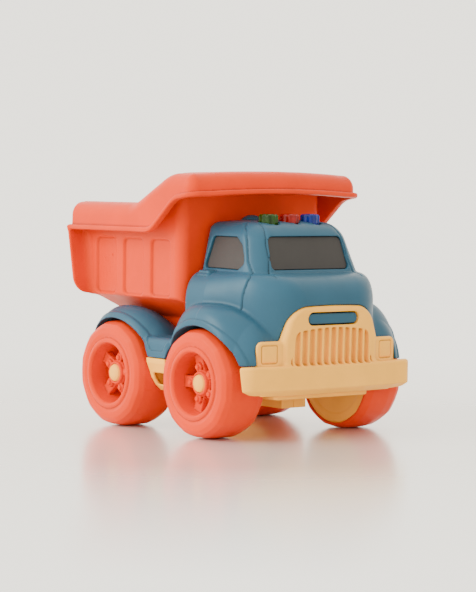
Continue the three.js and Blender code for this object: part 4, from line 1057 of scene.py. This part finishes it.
def stand_in_for(piece, node, materials):
    """Makes a piece take a CAD node's place, body and material."""
    slot = SLOT_OF[node]
    piece.data.materials.clear()
    piece.data.materials.append(materials[slot])
    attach(piece, BODY_OF[node])
    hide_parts(node)


def box_of(node, margin=0.5):
    """A node's box in millimetres, a little wider."""
    low, high = box_mm(node)
    return [v - margin for v in low], [v + margin for v in high]


FINE = 1.0  # scales every mesh's cell size


def make_shell(materials):
    """The big mouldings: body, bed, front and chassis."""
    for name, node, field, cell in (
        ("body_shell", "cab_and_fender_body", body_field, 0.8),
        ("bed_shell", "dump_bed", bed_field, 0.8),
        ("front_moulding", "front_bumper_and_grille", front_field, 0.65),
        ("chassis_moulding", "chassis_tray", chassis_field, 1.0),
    ):
        piece = moulded(name, field, *box_of(node), cell * FINE)
        stand_in_for(piece, node, materials)


def pane_field(index):
    """The field of a side pane, by index 0, or of the windscreen, by index 1."""
    return lambda x, y, z: window_pockets(x, y, z, GAP, PANE_DEPTH, PANE_DEPTH + 0.7)[index]


def make_windows(materials):
    """The three grey panes in their pockets."""
    for name, node, index in (("right_pane", "side_window_right", 0),
                              ("left_pane", "side_window_left", 0),
                              ("front_pane", "windscreen", 1)):
        piece = moulded(name, pane_field(index), *box_of(node, 2), 0.5 * FINE)
        stand_in_for(piece, node, materials)


def make_wheels(materials):
    """Four wheels with their inner discs and hub caps."""
    low, high = (-41, -1, -41), (41, 38, 41)
    for end, axle_x in (("front", FRONT_AXLE_X), ("rear", REAR_AXLE_X)):
        points, faces = surface(wheel_field(FIRST_SPOKE[end]), low, high, 0.7 * FINE)
        for side_name, side in (("left", 1), ("right", -1)):
            corner = f"{end}_{side_name}"
            place = (axle_x, side * WHEEL_INNER_Y, AXLE_Z)
            outward = faces if side > 0 else faces[:, ::-1]
            wheel = mesh_piece(f"{corner}_moulded_wheel", points * (1, side, 1) + place, outward)
            stand_in_for(wheel, f"{corner}_wheel", materials)
            disc = spun(f"{corner}_inner_disc", INNER_DISC, place, side)
            stand_in_for(disc, f"{corner}_wheel_disc", materials)
            cap = spun(f"{corner}_cap", HUB_CAP, place, side, 48)
            stand_in_for(cap, f"{corner}_hub_cap", materials)


def make_buttons(materials):
    """The three scalloped buttons."""
    points, faces = surface(button_field, (-9, -9, -13), (9, 9, 0.5), 0.3 * FINE)
    for index, colour in ((-1, "green"), (0, "red"), (1, "blue")):
        place = (BUTTON_X, index * BUTTON_PITCH, BUTTON_TOP)
        piece = mesh_piece(f"{colour}_push_button", points + place, faces)
        stand_in_for(piece, f"button_{colour}", materials)


def finish_nodes(materials):
    """Materials for the CAD nodes that stay."""
    for node, slot in SLOT_OF.items():
        piece = bpy.data.objects.get(node)
        if piece is not None and piece.type == "MESH":
            for place in piece.material_slots:
                place.material = materials[slot]


# ---------- studio

FLOOR_REACH = 0.9  # metres
CAMERA_PLACE = Vector((1.2809, -1.0374, 0.1843))
CAMERA_TARGET = Vector((-0.0038, 0, 0.0986))
CAMERA_ROLL = math.radians(0.70)
CAMERA_LENS = 132.3  # mm, on a sensor 36 mm wide
ROOM_COLOUR = (1.0, 0.957, 0.85, 1)
ROOM_BRIGHT, ROOM_DIM = 2.5, 1.3
DIM_SIDE = (0.75, 0.66, 0)  # the side of the room that is dimmer

def make_floor():
    """A pale glossy table that fades into the white room all round."""
    steps = 48
    angles = [2 * math.pi * i / steps for i in range(steps)]
    reach = FLOOR_REACH / MM
    rim = [(reach * math.cos(angle), reach * math.sin(angle), 0) for angle in angles]
    faces = np.array([(0, 1 + i, 1 + (i + 1) % steps) for i in range(steps)])
    floor = mesh_piece("table", np.array([(0, 0, 0)] + rim), faces)
    shader = Shader("pale_table", (0.94, 0.93, 0.91), 0.14)
    shader.main.inputs["IOR"].default_value = 3.0
    shader.main.inputs["Metallic"].default_value = 0.42
    shader.link(shader.span(shader.noise(3, 3), 0.16, 0.21), shader.main.inputs["Roughness"])
    far = shader.add("ShaderNodeVectorMath", operation="LENGTH")
    shader.link(shader.coords, far.inputs[0])
    shader.link(shader.span(far.outputs["Value"], 1.0, 0.0, 0.24, 0.65), shader.main.inputs["Alpha"])
    floor.data.materials.append(shader.material)


def make_camera():
    """The camera, at the angle and distance that the truck was seen from."""
    forward = (CAMERA_TARGET - CAMERA_PLACE).normalized()
    right = forward.cross(Vector((0, 0, 1))).normalized()
    up = right.cross(forward)
    turned_right = right * math.cos(CAMERA_ROLL) + up * math.sin(CAMERA_ROLL)
    turned_up = up * math.cos(CAMERA_ROLL) - right * math.sin(CAMERA_ROLL)
    data = bpy.data.cameras.new("camera")
    data.lens = CAMERA_LENS
    data.sensor_width = 36
    camera = bpy.data.objects.new("camera", data)
    axes = Matrix((turned_right, turned_up, -forward)).transposed().to_4x4()
    camera.matrix_world = Matrix.Translation(CAMERA_PLACE) @ axes
    bpy.context.scene.collection.objects.link(camera)
    bpy.context.scene.camera = camera


def area_light(name, place, target, size, power, colour):
    """A soft square lamp aimed at a point."""
    data = bpy.data.lights.new(name, "AREA")
    data.energy = power
    data.size = size
    data.color = colour
    lamp = bpy.data.objects.new(name, data)
    direction = Vector(target) - Vector(place)
    lamp.rotation_euler = direction.to_track_quat("-Z", "Y").to_euler()
    lamp.location = place
    bpy.context.scene.collection.objects.link(lamp)


def make_lights():
    """A white room, dimmer to the truck's front left, with a soft lamp on its right."""
    area_light("key", (-0.7, -2.0, 1.1), (0, 0, 0.08), 1.3, 56, (1, 0.97, 0.92))
    world = bpy.data.worlds.new("room")
    world.use_nodes = True
    nodes, links = world.node_tree.nodes, world.node_tree.links
    backdrop = nodes["Background"]
    backdrop.inputs["Color"].default_value = ROOM_COLOUR
    toward = nodes.new("ShaderNodeVectorMath")
    toward.operation = "DOT_PRODUCT"
    toward.inputs[1].default_value = DIM_SIDE
    links.new(nodes.new("ShaderNodeTexCoord").outputs["Generated"], toward.inputs[0])
    dim = nodes.new("ShaderNodeMapRange")
    dim.inputs["From Min"].default_value = 0.1
    dim.inputs["From Max"].default_value = 1.0
    dim.inputs["To Min"].default_value = ROOM_BRIGHT
    dim.inputs["To Max"].default_value = ROOM_DIM
    links.new(toward.outputs["Value"], dim.inputs["Value"])
    links.new(dim.outputs["Result"], backdrop.inputs["Strength"])
    bpy.context.scene.world = world


materials = make_materials()
make_shell(materials)
make_windows(materials)
make_wheels(materials)
make_buttons(materials)
finish_nodes(materials)
make_floor()
make_camera()
make_lights()
